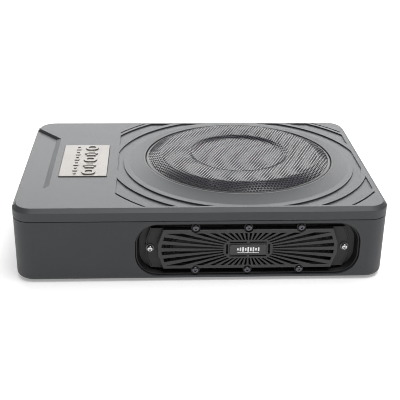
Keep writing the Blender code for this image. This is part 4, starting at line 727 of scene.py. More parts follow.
def build_tub():
    """Lower shell: rounded floor, tongue, window pocket, control bay opening and notch."""
    z_round = Z_BOTTOM + TUB_FILLET
    tongue = COVER_WALL + GAP
    rings = []
    for run, rise in reversed(quarter_round(TUB_FILLET - 1 * MM, 3)):
        z = Z_BOTTOM + TUB_FLOOR + TUB_FILLET - 1 * MM - rise
        rings.append(body_ring(tub_inset(z) + TUB_WALL + run, z))
    rings.append(body_ring(tub_inset(Z_PART - 6 * MM) + TUB_WALL, Z_PART - 6 * MM))
    rings.append(body_ring(tongue + 1.4 * MM, Z_PART - 4 * MM))
    rings.append(body_ring(tongue + 1.4 * MM, TUB_HIGH.z))
    rings.append(body_ring(tongue, TUB_HIGH.z))
    rings.append(body_ring(tongue, Z_PART - GAP))
    rings.append(body_ring(TUB_INSET + 0.3 * MM, Z_PART - GAP))
    rings.append(body_ring(TUB_INSET, Z_PART - 2 * GAP))
    for run, rise in quarter_round(TUB_FILLET, 8):
        rings.append(body_ring(tub_inset(z_round) + run, z_round - rise))
    window = prism(window_outline(-2.4 * MM), WINDOW_FLOOR - 3 * MM, BODY_FRONT - 2 * MM)
    bay_outer = rounded_rectangle(BAY_HALF[0] + 3 * MM, BAY_HALF[1] + 3 * MM, 5 * MM, 8)
    bay = prism(bay_outer, PANEL_OUTER + GAP, BODY_HALF[0] - 2 * MM)
    notch = (-BODY_HALF[0] + 42.5 * MM, -BODY_FRONT + 7.5 * MM)
    roof = block(27 * MM, 11 * MM, Z_BOTTOM + TUB_FLOOR - 1 * MM, Z_BOTTOM + 6.9 * MM,
                 (notch[0], notch[1] + 2 * MM))
    solids = combined([moved(window, AT_WINDOW), moved(bay, AT_PANEL), roof])
    pocket = prism(window_outline(0), WINDOW_FLOOR, BODY_FRONT + 5 * MM)
    opening = prism(rounded_rectangle(*BAY_HALF, 3.5 * MM, 8), PANEL_INNER, BODY_HALF[0] + 5 * MM)
    cutters = [moved(pocket, AT_WINDOW), moved(opening, AT_PANEL)]
    cutters.append(block(22 * MM, 9 * MM, Z_BOTTOM - 3 * MM, Z_BOTTOM + 4.3 * MM,
                         (notch[0], notch[1] - 1 * MM)))
    for name in ("front_left", "front_right", "rear_left", "rear_right"):
        low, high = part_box("foot_" + name)
        centre = ((low.x + high.x) / 2, (low.y + high.y) / 2)
        cutters.append(rod((high.x - low.x) / 2 + GAP, Z_BOTTOM - 3 * MM, Z_BOTTOM + 1 * MM, centre, 48))
    for place in post_places():
        cutters.append(rod(3.4 * MM, Z_BOTTOM - 3 * MM, Z_BOTTOM + 1.6 * MM, place, 32))
    hole = race_outline(HOLE_HALF[0] + 0.6 * MM, HOLE_HALF[1] + 0.6 * MM)
    through = moved(prism(hole, WINDOW_FLOOR - 12 * MM, WINDOW_FLOOR + 2 * MM), AT_WINDOW)
    steps = [("UNION", solids), ("DIFFERENCE", combined(cutters)), ("DIFFERENCE", through)]
    piece("tub_shell", skin(rings), finish_of("tub"), steps, 0.5 * MM, stands_for=["tub"],
          sharp=34)


def build_underside():
    """Rubber feet with a ring groove, and the six cover screws in their counterbores."""
    for name in ("front_left", "front_right", "rear_left", "rear_right"):
        low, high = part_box("foot_" + name)
        radius = (high.x - low.x) / 2
        profile = [(0, 0.5 * MM), (radius * 0.45, 0.5 * MM), (radius * 0.5, 0), (radius - 1.2 * MM, 0)]
        profile += [(radius - 0.35 * MM, 0.25 * MM), (radius, 1 * MM), (radius, high.z), (0, high.z)]
        place = Matrix.Translation(((low.x + high.x) / 2, (low.y + high.y) / 2, 0))
        piece("rubber_foot_" + name, lathe(profile, 48), finish_of("rubber"), edge=0.2 * MM,
              place=place,
              stands_for=["foot_" + name])
    for k, (x, y) in enumerate(post_places()):
        profile = [(0, 1.7 * MM), (2.6 * MM, 1.7 * MM), (2.9 * MM, 1.2 * MM), (2.6 * MM, 0.5 * MM),
                   (0, 0.2 * MM)]
        slots = [block(3.2 * MM, 0.8 * MM, -1 * MM, 0.9 * MM), block(0.8 * MM, 3.2 * MM, -1 * MM, 0.9 * MM)]
        cross = [("DIFFERENCE", slots[0]), ("DIFFERENCE", slots[1])]
        place = Matrix.Translation((x, y, Z_BOTTOM - 0.15 * MM))
        piece("cover_screw_%d" % (k + 1), lathe(profile, 24), finish_of("black_steel"),
              cross, place=place)


# ---------------------------------------------------------------- speaker grille

MESH_TURN = math.radians(7)
SHEET_THICKNESS = 0.7 * MM
TURNED_STEPS = 160


def dome_profile():
    """(radius, z) of the grille's upper side, from the middle of its sunken disc to its rim."""
    top = GRILLE_HIGH.z
    points = [
        (0.0, top - 2.9 * MM),
        (24 * MM, top - 3.05 * MM),
        (43.5 * MM, top - 3.5 * MM),
        (46.8 * MM, top - 2.9 * MM),
        (50.0 * MM, top - 1.3 * MM),
        (53.5 * MM, top - 0.85 * MM),
        (66 * MM, top - 0.15 * MM),
        (78 * MM, top - 0.1 * MM),
        (83 * MM, top - 1.6 * MM),
        (GRILLE_RADIUS - 1.4 * MM, top - 6.4 * MM),
        (GRILLE_RADIUS, top - 7.4 * MM),
    ]
    return smooth_curve(points, 6)


def perforated_sheet(profile, reach, thickness):
    """Sheet of hexagonal cells, each with a hole, laid over the dome and cut off at a radius."""
    pitch = sizes().hole_pitch
    corner, hole = pitch / math.sqrt(3), sizes().hole_width / 2
    radii = np.array([p[0] for p in profile])
    heights = np.array([p[1] for p in profile])
    turns = [math.radians(60 * k + 30) for k in range(6)]
    outer = np.array([(corner * math.cos(a), corner * math.sin(a)) for a in turns])
    inner = np.array([(hole * math.cos(a), hole * math.sin(a)) for a in turns])
    span = int(reach / pitch) + 2
    centres = []
    for row in range(-span * 2, span * 2 + 1):
        for column in range(-span, span + 1):
            x = pitch * (column + 0.5 * (row % 2))
            y = pitch * math.sqrt(3) / 2 * row
            if math.hypot(x, y) < reach - corner:
                centres.append((x, y))
    centres = np.array(centres)
    cells = len(centres)
    flat = np.concatenate([(centres[:, None] + outer).reshape(-1, 2),
                           (centres[:, None] + inner).reshape(-1, 2)])
    z = np.interp(np.hypot(flat[:, 0], flat[:, 1]), radii, heights)
    points = np.column_stack([flat, z])
    _, first, index = np.unique(np.round(flat / (0.02 * MM)), axis=0, return_index=True,
                                return_inverse=True)
    index = index.reshape(-1)
    points = points[first]
    low = points - np.array([0, 0, thickness])
    count = len(points)
    ring = np.arange(cells)[:, None] * 6
    faces = []
    boundary = {}
    for k in range(6):
        after = (k + 1) % 6
        a, b = index[ring + k].ravel(), index[ring + after].ravel()
        c, d = index[ring + after + 6 * cells].ravel(), index[ring + k + 6 * cells].ravel()
        faces.append(np.column_stack([a, b, c, d]))
        faces.append(np.column_stack([d, c, b, a]) + count)
        faces.append(np.column_stack([d, c, c + count, d + count]))
        for p, q in zip(a.tolist(), b.tolist()):
            key = (min(p, q), max(p, q))
            boundary[key] = None if key in boundary else (p, q)
    edge = [(q, p, p + count, q + count) for pair in boundary.values() if pair for p, q in [pair]]
    faces.append(np.array(edge))
    data = bpy.data.meshes.new("perforated_sheet")
    data.from_pydata(np.concatenate([points, low]).tolist(), [], np.concatenate(faces).tolist())
    mesh = bmesh.new()
    mesh.from_mesh(data)
    bpy.data.meshes.remove(data)
    return mesh


def build_speaker_grille():
    """Domed punched sheet of the grille, and its rolled rim."""
    profile = dome_profile()
    reach = GRILLE_RADIUS - 0.4 * MM
    sheet = perforated_sheet(profile, reach, SHEET_THICKNESS)
    made = new_object("speaker_mesh", sheet)
    made.data.shade_smooth()
    made.data.set_sharp_from_angle(angle=math.radians(50))
    made.data.materials.append(finish_of("mesh"))
    made.matrix_world = AT_DRIVER @ Matrix.Rotation(MESH_TURN, 4, "Z")
    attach(made, HOUSING)
    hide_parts("speaker_grille")
    rim = GRILLE_RADIUS
    seat = GRILLE_LOW.z
    z_rim = np.interp(rim - 1.8 * MM, [p[0] for p in profile], [p[1] for p in profile])
    ring = [(rim - 3.2 * MM, z_rim - 1.0 * MM), (rim - 0.5 * MM, seat), (rim, seat + 0.3 * MM)]
    ring += [(rim, z_rim - 1.1 * MM), (rim - 0.5 * MM, z_rim - 0.35 * MM),
             (rim - 1.9 * MM, z_rim + 0.25 * MM)]
    ring.append((rim - 3.0 * MM, z_rim + 0.35 * MM))
    piece("speaker_mesh_rim", lathe(ring, TURNED_STEPS), finish_of("enamel"),
          place=AT_DRIVER)


# ---------------------------------------------------------------- name plate

PLATE_UNIT = 16.4 * MM
PLATE_LARGE_AT = 5.3 * MM
PLATE_LARGE_ROW = 13.6 * MM
PLATE_SMALL_AT = -8.3 * MM
PLATE_SMALL_ROW = 5 * MM


def build_name_plate():
    """Brushed plate with a bevelled rim and a generic pattern of dials and level bars in relief."""
    half = ((PLATE_HIGH.x - PLATE_LOW.x) / 2, (PLATE_HIGH.y - PLATE_LOW.y) / 2)
    place = Matrix.Translation(((PLATE_LOW.x + PLATE_HIGH.x) / 2, 0, 0))
    base = softened(
        lambda inset: rounded_rectangle(half[0] - inset, half[1] - inset, 1 * MM - inset / 2, 4),
        PLATE_LOW.z, PLATE_HIGH.z, 0.5 * MM,
    )
    piece("plate_base", base, finish_of("plate"), place=place, stands_for=["name_plate"])
    relief = []
    low = PLATE_HIGH.z - 0.1 * MM
    for unit in range(-2, 3):
        y = unit * PLATE_UNIT
        if unit % 2 == 0:
            relief.append(relief_ring(PLATE_LARGE_ROW, PLATE_UNIT - 3 * MM, 3.6 * MM, low, 1.1 * MM,
                                      (PLATE_LARGE_AT, y)))
        else:
            for bar, length in zip((-1, 0, 1), (0.7, 1.0, 0.5)):
                at = (PLATE_LARGE_AT, y + bar * 4.7 * MM)
                relief.append(relief_bar(PLATE_LARGE_ROW * length, 3.2 * MM, low, 1.1 * MM, at))
    for k in range(11):
        at = (PLATE_SMALL_AT, (k - 5) * 7.2 * MM)
        relief.append(relief_bar(PLATE_SMALL_ROW * (1.0 if k % 2 else 0.6), 3.4 * MM, low, 0.8 * MM, at))
    piece("plate_relief", combined(relief), finish_of("plate"), place=place)


def relief_ring(size_x, size_y, stroke, low, height, centre, slope=0.3):
    """Raised rounded frame with sloping sides."""
    rings = []
    for z, inset in ((low, 0.0), (low + height, slope * height)):
        for grow in (-inset, inset - stroke):
            half_x, half_y = size_x / 2 + grow, size_y / 2 + grow
            outline = rounded_rectangle(half_x, half_y, min(half_x, half_y) * 0.8, 6)
            rings.append(level([(centre[0] + x, centre[1] + y) for x, y in outline], z))
    return skin([rings[0], rings[2], rings[3], rings[1]], closed=True)


def relief_bar(size_x, size_y, low, height, centre, slope=0.3):
    """Raised bar with sloping sides."""
    rings = []
    for z, inset in ((low, 0.0), (low + height, slope * height)):
        half_x, half_y = size_x / 2 - inset, size_y / 2 - inset
        outline = rounded_rectangle(half_x, half_y, min(half_x, half_y) * 0.35, 3)
        rings.append(level([(centre[0] + x, centre[1] + y) for x, y in outline], z))
    return skin(rings)


# ---------------------------------------------------------------- front window

BOSS_RADIUS = 4.1 * MM
BOSS_CLEARANCE = 4.6 * MM
SHANK_BORE = 1.8 * MM

def build_radiator_frame():
    """Frame in the window, with its screw bosses and bores."""
    hole = rounded_rectangle(*HOLE_HALF, HOLE_HALF[1] - 0.2 * MM, 14)
    rings = [
        level(window_outline(GAP), FRAME_BACK),
        level(window_outline(GAP), RIM_FRONT - 0.4 * MM),
        level(window_outline(GAP + 0.15 * MM), RIM_FRONT - 0.1 * MM),
        level(window_outline(GAP + 0.5 * MM), RIM_FRONT),
        level(window_outline(1.2 * MM), RIM_FRONT),
        level(window_outline(1.6 * MM), RIM_FRONT - 0.25 * MM),
        level(window_outline(3.4 * MM), FRAME_FLOOR + 0.8 * MM),
        level(window_outline(3.9 * MM), FRAME_FLOOR + 0.15 * MM),
        level(window_outline(4.6 * MM), FRAME_FLOOR),
        level(hole, FRAME_FLOOR),
        level(hole, FRAME_BACK),
    ]
    middle = (FRAME_BACK + FRAME_FLOOR) / 2
    bosses = [rod(BOSS_RADIUS, middle, RIM_FRONT - GAP, p, 36) for p in SCREW_PLACES]
    bosses += [rod(5 * MM, middle, SLOTTED_BASE - GAP, p, 36) for p in BOLT_PLACES]
    bores = [rod(SHANK_BORE, FRAME_BACK - 2 * MM, RIM_FRONT + 2 * MM, p,
                 24) for p in SCREW_PLACES + BOLT_PLACES]
    steps = [("UNION", combined(bosses)), ("DIFFERENCE", combined(bores))]
    piece("window_frame", skin(rings, closed=True), finish_of("frame"), steps, 0.25 * MM,
          place=AT_WINDOW, stands_for=["radiator_frame"])


def slotted_outline(grow):
    """Outline of the slotted cover, grown by a distance."""
    half_x, half_y = SLOTTED_HALF[0] + grow, SLOTTED_HALF[1] + grow
    return cut_corner_rectangle(half_x, half_y, 5.2 * MM + grow * 0.4, half_y - 5.2 * MM - grow * 0.4)


def ray_reach(outline, angle):
    """Distance from the middle to a convex outline along the given direction."""
    dx, dy = math.cos(angle), math.sin(angle)
    best = math.inf
    for (ax, ay), (bx, by) in zip(outline, outline[1:] + outline[:1]):
        ex, ey = bx - ax, by - ay
        cross = dx * ey - dy * ex
        if abs(cross) > 1e-12:
            along = (ax * ey - ay * ex) / cross
            share = (ax * dy - ay * dx) / cross
            if along > 0 and -1e-9 <= share <= 1 + 1e-9:
                best = min(best, along)
    return best


def sunburst_slots(low, high):
    """Wedge-shaped slots that fan out from the hub and close up towards the long axis."""
    outer = slotted_outline(-3.4 * MM)
    hub = cut_corner_rectangle(22.8 * MM, 9.4 * MM, 5 * MM, 5 * MM)
    pitch = 2 * math.pi / sizes().slots
    slots = []
    for k in range(sizes().slots):
        sides = []
        for turn in ((k + 0.5 - 0.26) * pitch, (k + 0.5 + 0.26) * pitch):
            sides.append(math.atan2(math.sin(turn), math.cos(turn) * 1.7))
        reach = [(ray_reach(hub, a), ray_reach(outer, a)) for a in sides]
        corners = [(reach[0][0], sides[0]), (reach[0][1], sides[0]), (reach[1][1], sides[1]),
                   (reach[1][0], sides[1])]
        slots.append(prism([(r * math.cos(a), r * math.sin(a)) for r, a in corners], low, high))
    return slots


def build_slotted_cover():
    """Slotted cover with its sunburst, and the flange round its foot."""
    base = SLOTTED_BASE
    step = base + 1.5 * MM
    inner_face = SLOTTED_FRONT - 1.4 * MM
    seam = step + 0.05 * MM

    def flange(inset):
        half = (SLOTTED_HALF[0] + 10.4 * MM - inset, SLOTTED_HALF[1] + GAP - inset)
        return cut_corner_rectangle(*half, 4 * MM, half[1] - 9 * MM)

    rim = [
        level(slotted_outline(-1.4 * MM), base),
        level(flange(0), base),
        level(flange(0), step + 0.5 * MM),
        level(flange(0.8 * MM), step + 0.5 * MM),
        level(flange(1.3 * MM), step),
        level(slotted_outline(-1.4 * MM), step),
    ]
    rings = [
        level(slotted_outline(-1.4 * MM), inner_face),
        level(slotted_outline(-1.4 * MM), seam),
        level(slotted_outline(0), seam),
        level(slotted_outline(0), SLOTTED_FRONT - 0.6 * MM),
        level(slotted_outline(-0.6 * MM), SLOTTED_FRONT),
    ]
    low, high = inner_face - 0.6 * MM, SLOTTED_FRONT + 2 * MM
    cuts = sunburst_slots(low, high)
    reach_x, reach_y = EMBLEM_HALF
    for side in (-1, 1):
        cuts.append(block(1.8 * MM, 2 * reach_y, low, high, (side * (reach_x + 2.4 * MM), 0)))
        for end in (-1, 1):
            centre = (end * (reach_x / 2 + 0.6 * MM), side * (reach_y + 2 * MM))
            cuts.append(block(reach_x - 1.2 * MM, 1.2 * MM, low, high, centre))
    cuts += [rod(BOSS_CLEARANCE, base - 2 * MM, high, p, 36) for p in SCREW_PLACES]
    bores = [rod(BOSS_CLEARANCE, base - 2 * MM, high, p, 36) for p in SCREW_PLACES]
    bores += [rod(SHANK_BORE, base - 2 * MM, step + 2 * MM, p, 24) for p in BOLT_PLACES]
    piece("slotted_cover_flange", skin(rim, closed=True), finish_of("frame"),
          [("DIFFERENCE", combined(bores))], 0.15 * MM, place=AT_WINDOW,
          stands_for=["radiator_grille"])
    piece("slotted_cover", skin(rings), finish_of("front"),
          [("DIFFERENCE", combined(cuts))],
          0.18 * MM, place=AT_WINDOW, stands_for=["radiator_grille"])


def build_emblem():
    """Lacquered badge with a generic row of level bars."""
    reach_x, reach_y = EMBLEM_HALF
    low, high = -EMBLEM_HIGH.y, -EMBLEM_LOW.y
    plate = softened(
        lambda inset: rounded_rectangle(reach_x - inset, reach_y - inset, 1.4 * MM - inset / 2,
                                        5), low, high, 0.35 * MM
    )
    piece("badge_plate", plate, finish_of("lacquer"), place=AT_WINDOW,
          stands_for=["radiator_emblem"])
    bars = []
    heights = (2.2, 3.6, 4.8, 3.0, 4.8, 3.6, 4.4, 2.6, 3.8)
    for k, height in enumerate(heights):
        x = (k - (len(heights) - 1) / 2) * 2.4 * MM
        bars.append(relief_bar(1.5 * MM, height * MM, high - 0.05 * MM, 0.2 * MM, (x, 0.4 * MM)))
    bars.append(relief_bar(20 * MM, 0.5 * MM, high - 0.05 * MM, 0.15 * MM, (0, -3 * MM)))
    piece("badge_marks", combined(bars), finish_of("foil"), place=AT_WINDOW)


def hexagon(radius):
    """Corners of a hexagon."""
    return [(radius * math.cos(math.pi / 3 * k), radius * math.sin(math.pi / 3 * k)) for k in range(6)]


SCREW_HEAD = 3.1 * MM
SCREW_HEIGHT = 1.9 * MM
BOLT_HEAD = 2.8 * MM
BOLT_HEIGHT = 2.6 * MM
SHANK = 1.5 * MM
WASHER_RADIUS = 3.9 * MM
WASHER_THICKNESS = 0.7 * MM


def button_screw(head, height, shank, under, tip, key):
    """Button-head screw with a hexagon socket, along +Z, and the cut for its socket."""
    top = under + height
    profile = [(0, tip), (shank, tip), (shank, under), (head - 0.15 * MM, under), (head, under + 0.15 * MM)]
    for k in range(7):
        angle = math.pi / 2 * k / 6
        profile.append((head * 0.55 + (head * 0.45) * math.cos(angle),
                        under + height * (0.4 + 0.6 * math.sin(angle))))
    profile.append((0, top))
    socket = prism(hexagon(key), top - height * 0.62, top + 1 * MM)
    return lathe(profile, 40), [("DIFFERENCE", socket)]


def build_fasteners():
    """Six black screws, and the two bright bolts with their washers."""
    for k, (x, y) in enumerate(SCREW_PLACES):
        mesh, steps = button_screw(SCREW_HEAD, SCREW_HEIGHT, SHANK, RIM_FRONT, WINDOW_FLOOR - 3 * MM,
                                   1.3 * MM)
        turn = Matrix.Rotation(0.4 * k, 4, "Z")
        piece("frame_screw_%d" % (k + 1), mesh, finish_of("black_steel"), steps, 0.08 * MM,
              AT_WINDOW @ Matrix.Translation((x, y, 0)) @ turn, stands_for=["radiator_screw_%d" % (k + 1)])
    under = SLOTTED_BASE + 1.5 * MM + GAP
    for side, (x, y) in zip(("left", "right"), BOLT_PLACES):
        place = AT_WINDOW @ Matrix.Translation((x, y, 0))
        mesh, steps = button_screw(BOLT_HEAD, BOLT_HEIGHT, SHANK, under + 0.8 * MM, FRAME_BACK, 1.7 * MM)
        piece("end_bolt_" + side, mesh, finish_of("steel"), steps, 0.1 * MM, place,
              stands_for=["grille_bolt_" + side])
        top = under + WASHER_THICKNESS
        ring = [(1.7 * MM, under), (WASHER_RADIUS, under), (WASHER_RADIUS, top), (1.7 * MM, top)]
        piece("end_washer_" + side, lathe(ring, 40), finish_of("black_steel"),
              edge=0.12 * MM, place=place)


# ---------------------------------------------------------------- control bay

KNOBS = ("level", "crossover", "bass_boost")
SOCKETS = ("power_socket", "fuse_holder", "speaker_level_socket", "remote_socket")
# Wall beside and above each socket's mouth, in millimetres
MOUTH_WALL = {
    "power_socket": (2, 2),
    "fuse_holder": (2, 1.8),
    "speaker_level_socket": (2, 2),
    "remote_socket": (1.75, 2.25),
}
# Middles of the contact pins in each socket, in millimetres
PIN_PLACES = {
    "power_socket": [(-7, 0), (0, 0), (7, 0)],
    "speaker_level_socket": [(-5, 0), (-1.7, 0), (1.7, 0), (5, 0)],
    "remote_socket": [(-3, -1), (-1, -1), (1, -1), (3, -1)],
}
POWER_PIN_WIDTH = 2.6 * MM
SMALL_PIN_WIDTH = 0.8 * MM
INK_LOW = PANEL_OUTER - 0.05 * MM
INK_HIGH = PANEL_OUTER + 0.08 * MM
TICKS = 11
KNOB_TURN = 140
KNOB_RADIUS = 6 * MM
KNOB_SHANK = 2.9 * MM
KNOB_FLUTES = 18
FLUTE_DEPTH = 0.22 * MM
LAMP_RADIUS = 1.5 * MM


def panel_box(node):
    """Middle, half size and depth range of a CAD node in the panel's own axes."""
    low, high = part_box(node)
    centre = (-(low.y + high.y) / 2, (low.z + high.z) / 2 - PANEL_Z)
    return centre, ((high.y - low.y) / 2, (high.z - low.z) / 2), (-high.x, -low.x)


def on_panel(centre):
    """Place of a piece whose middle is at this point of the panel."""
    return AT_PANEL @ Matrix.Translation((*centre, 0))


def shrinking(half, radius, steps):
    """Gives the outline of a rounded rectangle drawn in by an inset, for softened()."""
    return lambda inset: rounded_rectangle(half[0] - inset, half[1] - inset, radius - inset / 2, steps)


def printed_line(outer, inner):
    """Thin layer of ink between two outlines."""
    rings = [level(outer, INK_LOW), level(outer, INK_HIGH), level(inner, INK_HIGH), level(inner, INK_LOW)]
    return skin(rings, closed=True)


def knob_scale(centre):
    """Printed ticks over the knob's turn; the first, the middle and the last are longer."""
    ticks = []
    for k in range(TICKS):
        length, distance = (1.5 * MM, 8.3 * MM) if k % 5 else (2.2 * MM, 8.6 * MM)
        angle = math.radians(90 - KNOB_TURN + 2 * KNOB_TURN / (TICKS - 1) * k)
        tick = block(length, 0.45 * MM, INK_LOW, INK_HIGH, (distance, 0))
        ticks.append(moved(tick, Matrix.Translation((*centre, 0)) @ Matrix.Rotation(angle, 4, "Z")))
    return ticks


def build_control_panel():
    """Panel with its openings and its printed marks."""
    low, high = PANEL_INNER - 2 * MM, PANEL_OUTER + 2 * MM
    cuts = []
    marks = []
    for name in SOCKETS:
        centre, half, _ = panel_box(name)
        cuts.append(block(2 * half[0] + 2 * GAP, 2 * half[1] + 2 * GAP, low, high, centre))
    for name in KNOBS:
        centre = panel_box(name + "_knob")[0]
        cuts.append(rod(KNOB_SHANK + 0.4 * MM, low, high, centre, 32))
        marks += knob_scale(centre)
    for side in ("left", "right"):
        centre = panel_box("rca_jack_" + side)[0]
        cuts.append(rod(4.7 * MM, low, high, centre, 32))
        marks.append(printed_line(circle(7.2 * MM, 40, centre), circle(6.8 * MM, 40, centre)))
    cuts.append(block(9.4 * MM, 3.6 * MM, low, high, panel_box("phase_switch_body")[0]))
    cuts.append(rod(LAMP_RADIUS + GAP, low, high, panel_box("power_led")[0], 24))
    insets = (1.6 * MM, 2 * MM)
    border = [rounded_rectangle(BAY_HALF[0] - inset, BAY_HALF[1] - inset, 2.5 * MM, 8) for inset in insets]
    marks.append(printed_line(*border))
    half = (BAY_HALF[0] + 3 * MM, BAY_HALF[1] + 3 * MM)
    plate = prism(rounded_rectangle(*half, 3 * MM, 8), PANEL_INNER, PANEL_OUTER)
    piece("bay_panel", plate, finish_of("panel"), [("DIFFERENCE", combined(cuts))],
          0.2 * MM,
          place=AT_PANEL, stands_for=["control_panel"])
    piece("panel_marks", combined(marks), finish_of("ink"), place=AT_PANEL)


def contact_pin(width, low, high, x, y):
    """Flat pin with a rounded tip."""

    def outline(inset):
        blade = rounded_rectangle(width / 2 - inset, 0.4 * MM - inset, 0.1 * MM, 2)
        return [(x + a, y + b) for a, b in blade]

    return softened(outline, low, high, 0.2 * MM, 2)


def build_sockets():
    """Sockets with walls round their mouths, and the contact pins inside."""
    lip = 0.3 * MM
    for name in SOCKETS:
        centre, half, (back, front) = panel_box(name)
        mouth = [size - wall * MM for size, wall in zip(half, MOUTH_WALL[name])]
        floor = back + 2 * MM
        outer = shrinking(half, 1 * MM, 5)

        def inner(inset):
            return rounded_rectangle(mouth[0] - inset, mouth[1] - inset, 0.6 * MM, 5)

        rings = [level(outer(0), back), level(outer(0), front - lip), level(outer(lip), front)]
        rings += [level(inner(-lip), front), level(inner(0), front - lip), level(inner(0), floor)]
        place = on_panel(centre)
        piece(name + "_shell", skin(rings), finish_of("socket"), place=place,
              stands_for=[name])
        if name in PIN_PLACES:
            width = POWER_PIN_WIDTH if name == "power_socket" else SMALL_PIN_WIDTH
            span = (floor - 0.2 * MM, front - 2.5 * MM)
            pins = [contact_pin(width, *span, x * MM, y * MM) for x, y in PIN_PLACES[name]]
            piece(name + "_pins", combined(pins), finish_of("gold"), place=place)


def build_fuse():
    """Blade fuse with a finger notch across its top."""
    centre, half, (back, front) = panel_box("fuse")
    body = softened(shrinking(half, 0.8 * MM, 5), back, front, 0.5 * MM)
    notch = block(5.6 * MM, 2.2 * MM, front - 0.7 * MM, front + 1 * MM)
    piece("blade_fuse", body, finish_of("fuse"), [("DIFFERENCE", notch)], 0.12 * MM,
          on_panel(centre),
          stands_for=["fuse"])


def build_rca_jacks():
    """Turned jack shells with a coloured insert each."""
    flange = PANEL_OUTER + GAP
    barrel, bore = 4.15 * MM, 3.1 * MM
    for side, insert in (("left", "dielectric"), ("right", "red")):
        centre, _, (back, tip) = panel_box("rca_jack_" + side)
        profile = [(0, back), (4.4 * MM, back), (4.4 * MM, flange), (5.6 * MM, flange)]
        profile += [(5.6 * MM, flange + 0.8 * MM), (5.3 * MM, flange + 1 * MM), (barrel, flange + 1 * MM)]
        profile += [(barrel, tip - 0.4 * MM), (barrel - 0.35 * MM, tip), (bore, tip)]
        profile += [(bore, flange + 1.5 * MM), (0, flange + 1.5 * MM)]
        piece("jack_shell_" + side, lathe(profile, 48), finish_of("nickel"),
              place=on_panel(centre),
              stands_for=["rca_jack_" + side])
        low, high = flange + 1.6 * MM, tip - 0.6 * MM
        hole, outside = 1.7 * MM, bore - 0.05 * MM
        core = [(hole, low), (outside, low), (outside, high), (hole, high)]
        piece("jack_insert_" + side, lathe(core, 48), finish_of(insert), edge=0.15 * MM,
              place=on_panel(centre))


def fluted_ring(radius, z, share, segments=144):
    """Circle whose radius dips at each flute by a share of the flute's depth."""
    points = []
    for k in range(segments):
        angle = 2 * math.pi * k / segments
        dipped = radius - share * FLUTE_DEPTH * max(0.0, math.cos(KNOB_FLUTES * angle))
        points.append((dipped * math.cos(angle), dipped * math.sin(angle), z))
    return points


def build_knobs():
    """Fluted knobs with a skirt and an inlaid pointer line."""
    for name in KNOBS:
        centre, _, (back, front) = panel_box(name + "_knob")
        low = PANEL_OUTER + GAP
        rings = [
            fluted_ring(KNOB_SHANK, back, 0),
            fluted_ring(KNOB_SHANK, low, 0),
            fluted_ring(KNOB_RADIUS - 0.2 * MM, low, 0),
            fluted_ring(KNOB_RADIUS, low + 0.2 * MM, 0),
            fluted_ring(KNOB_RADIUS, low + 0.9 * MM, 0),
            fluted_ring(KNOB_RADIUS - 0.3 * MM, low + 1.2 * MM, 0.5),
            fluted_ring(KNOB_RADIUS - 0.5 * MM, low + 1.6 * MM, 1),
            fluted_ring(KNOB_RADIUS - 0.9 * MM, front - 0.8 * MM, 1),
            fluted_ring(KNOB_RADIUS - 1.2 * MM, front - 0.25 * MM, 0.3),
            fluted_ring(KNOB_RADIUS - 1.7 * MM, front, 0),
            fluted_ring(2 * MM, front - 0.15 * MM, 0),
        ]
        groove = block(0.9 * MM, KNOB_RADIUS - 1 * MM, front - 0.5 * MM, front + 1 * MM,
                       (0, KNOB_RADIUS / 2))
        place = on_panel(centre)
        piece(name + "_cap", skin(rings), finish_of("knob"), [("DIFFERENCE", groove)],
              place=place,
              body=name + "_knob", stands_for=[name + "_knob"])
        line = block(0.7 * MM, 3.4 * MM, front - 0.55 * MM, front - 0.2 * MM, (0, 2.7 * MM))
        piece(name + "_pointer_line", line, finish_of("ink"), place=place,
              body=name + "_knob")


def build_switch_and_lamp():
    """Ribbed slide lever and the domed lamp."""
    centre, half, (back, front) = panel_box("phase_switch_lever")
    lever = softened(shrinking(half, 0.5 * MM, 4), back, front, 0.4 * MM)
    ribs = [block(0.35 * MM, 4 * MM, front - 0.25 * MM, front + 1 * MM, (x * MM, 0)) for x in (-1, 0, 1)]
    piece("phase_lever", lever, finish_of("knob"), [("DIFFERENCE", combined(ribs))],
          place=on_panel(centre), body="phase_switch", stands_for=["phase_switch_lever"])
    centre, _, (back, front) = panel_box("power_led")
    profile = [(0, back)]
    shoulder = front - LAMP_RADIUS
    profile += [(LAMP_RADIUS - run, shoulder + rise) for run, rise in quarter_round(LAMP_RADIUS, 6)]
    profile.insert(1, (LAMP_RADIUS, back))
    profile[-1] = (0, front)
    piece("led_lens", lathe(profile, 32), finish_of("lens"), place=on_panel(centre),
          stands_for=["power_led"])


# ---------------------------------------------------------------- carried-over pieces

KEPT = {
    "rubber": ("cover_gasket", "woofer_surround", "radiator_surround"),
    "foam": ("woofer_gasket", "radiator_gasket"),
    "cloth": ("spider",),
    "paper": ("woofer_cone",),
    "cap": ("dust_cap",),
    "copper": ("voice_coil", "choke"),
    "zinc": ("yoke", "magnet_top_plate", "radiator_weight"),
    "ferrite": ("magnet",),
    "enamel": ("woofer_basket",),
    "frame": ("radiator_diaphragm",),
    "black_steel": ("driver_screw_1", "driver_screw_2", "driver_screw_3", "driver_screw_4"),
    "socket": ("level_potentiometer", "crossover_potentiometer", "bass_boost_potentiometer",
               "phase_switch_body"),
    "board": ("amplifier_board",),
    "fins": ("heat_sink",),
    "sleeve": ("capacitor_1", "capacitor_2"),
}


def dress_kept_pieces():
    """Gives the CAD pieces that are kept as they are their finishes."""
    for key, names in KEPT.items():
        for name in names:
            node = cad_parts[name]
            node.data.materials.clear()
            node.data.materials.append(finish_of(key))


# ---------------------------------------------------------------- stage

CAMERA_AT = (-43.66 * MM, -827.4 * MM, 402.45 * MM)
CAMERA_PITCH = math.radians(24.242)
CAMERA_YAW = math.radians(3.329)
CAMERA_ROLL = math.radians(0.947)
CAMERA_LENS = 78.345
SENSOR_WIDTH = 36.0
TABLE_GLOW = 0.3
ROOM_LIGHT = 0.22
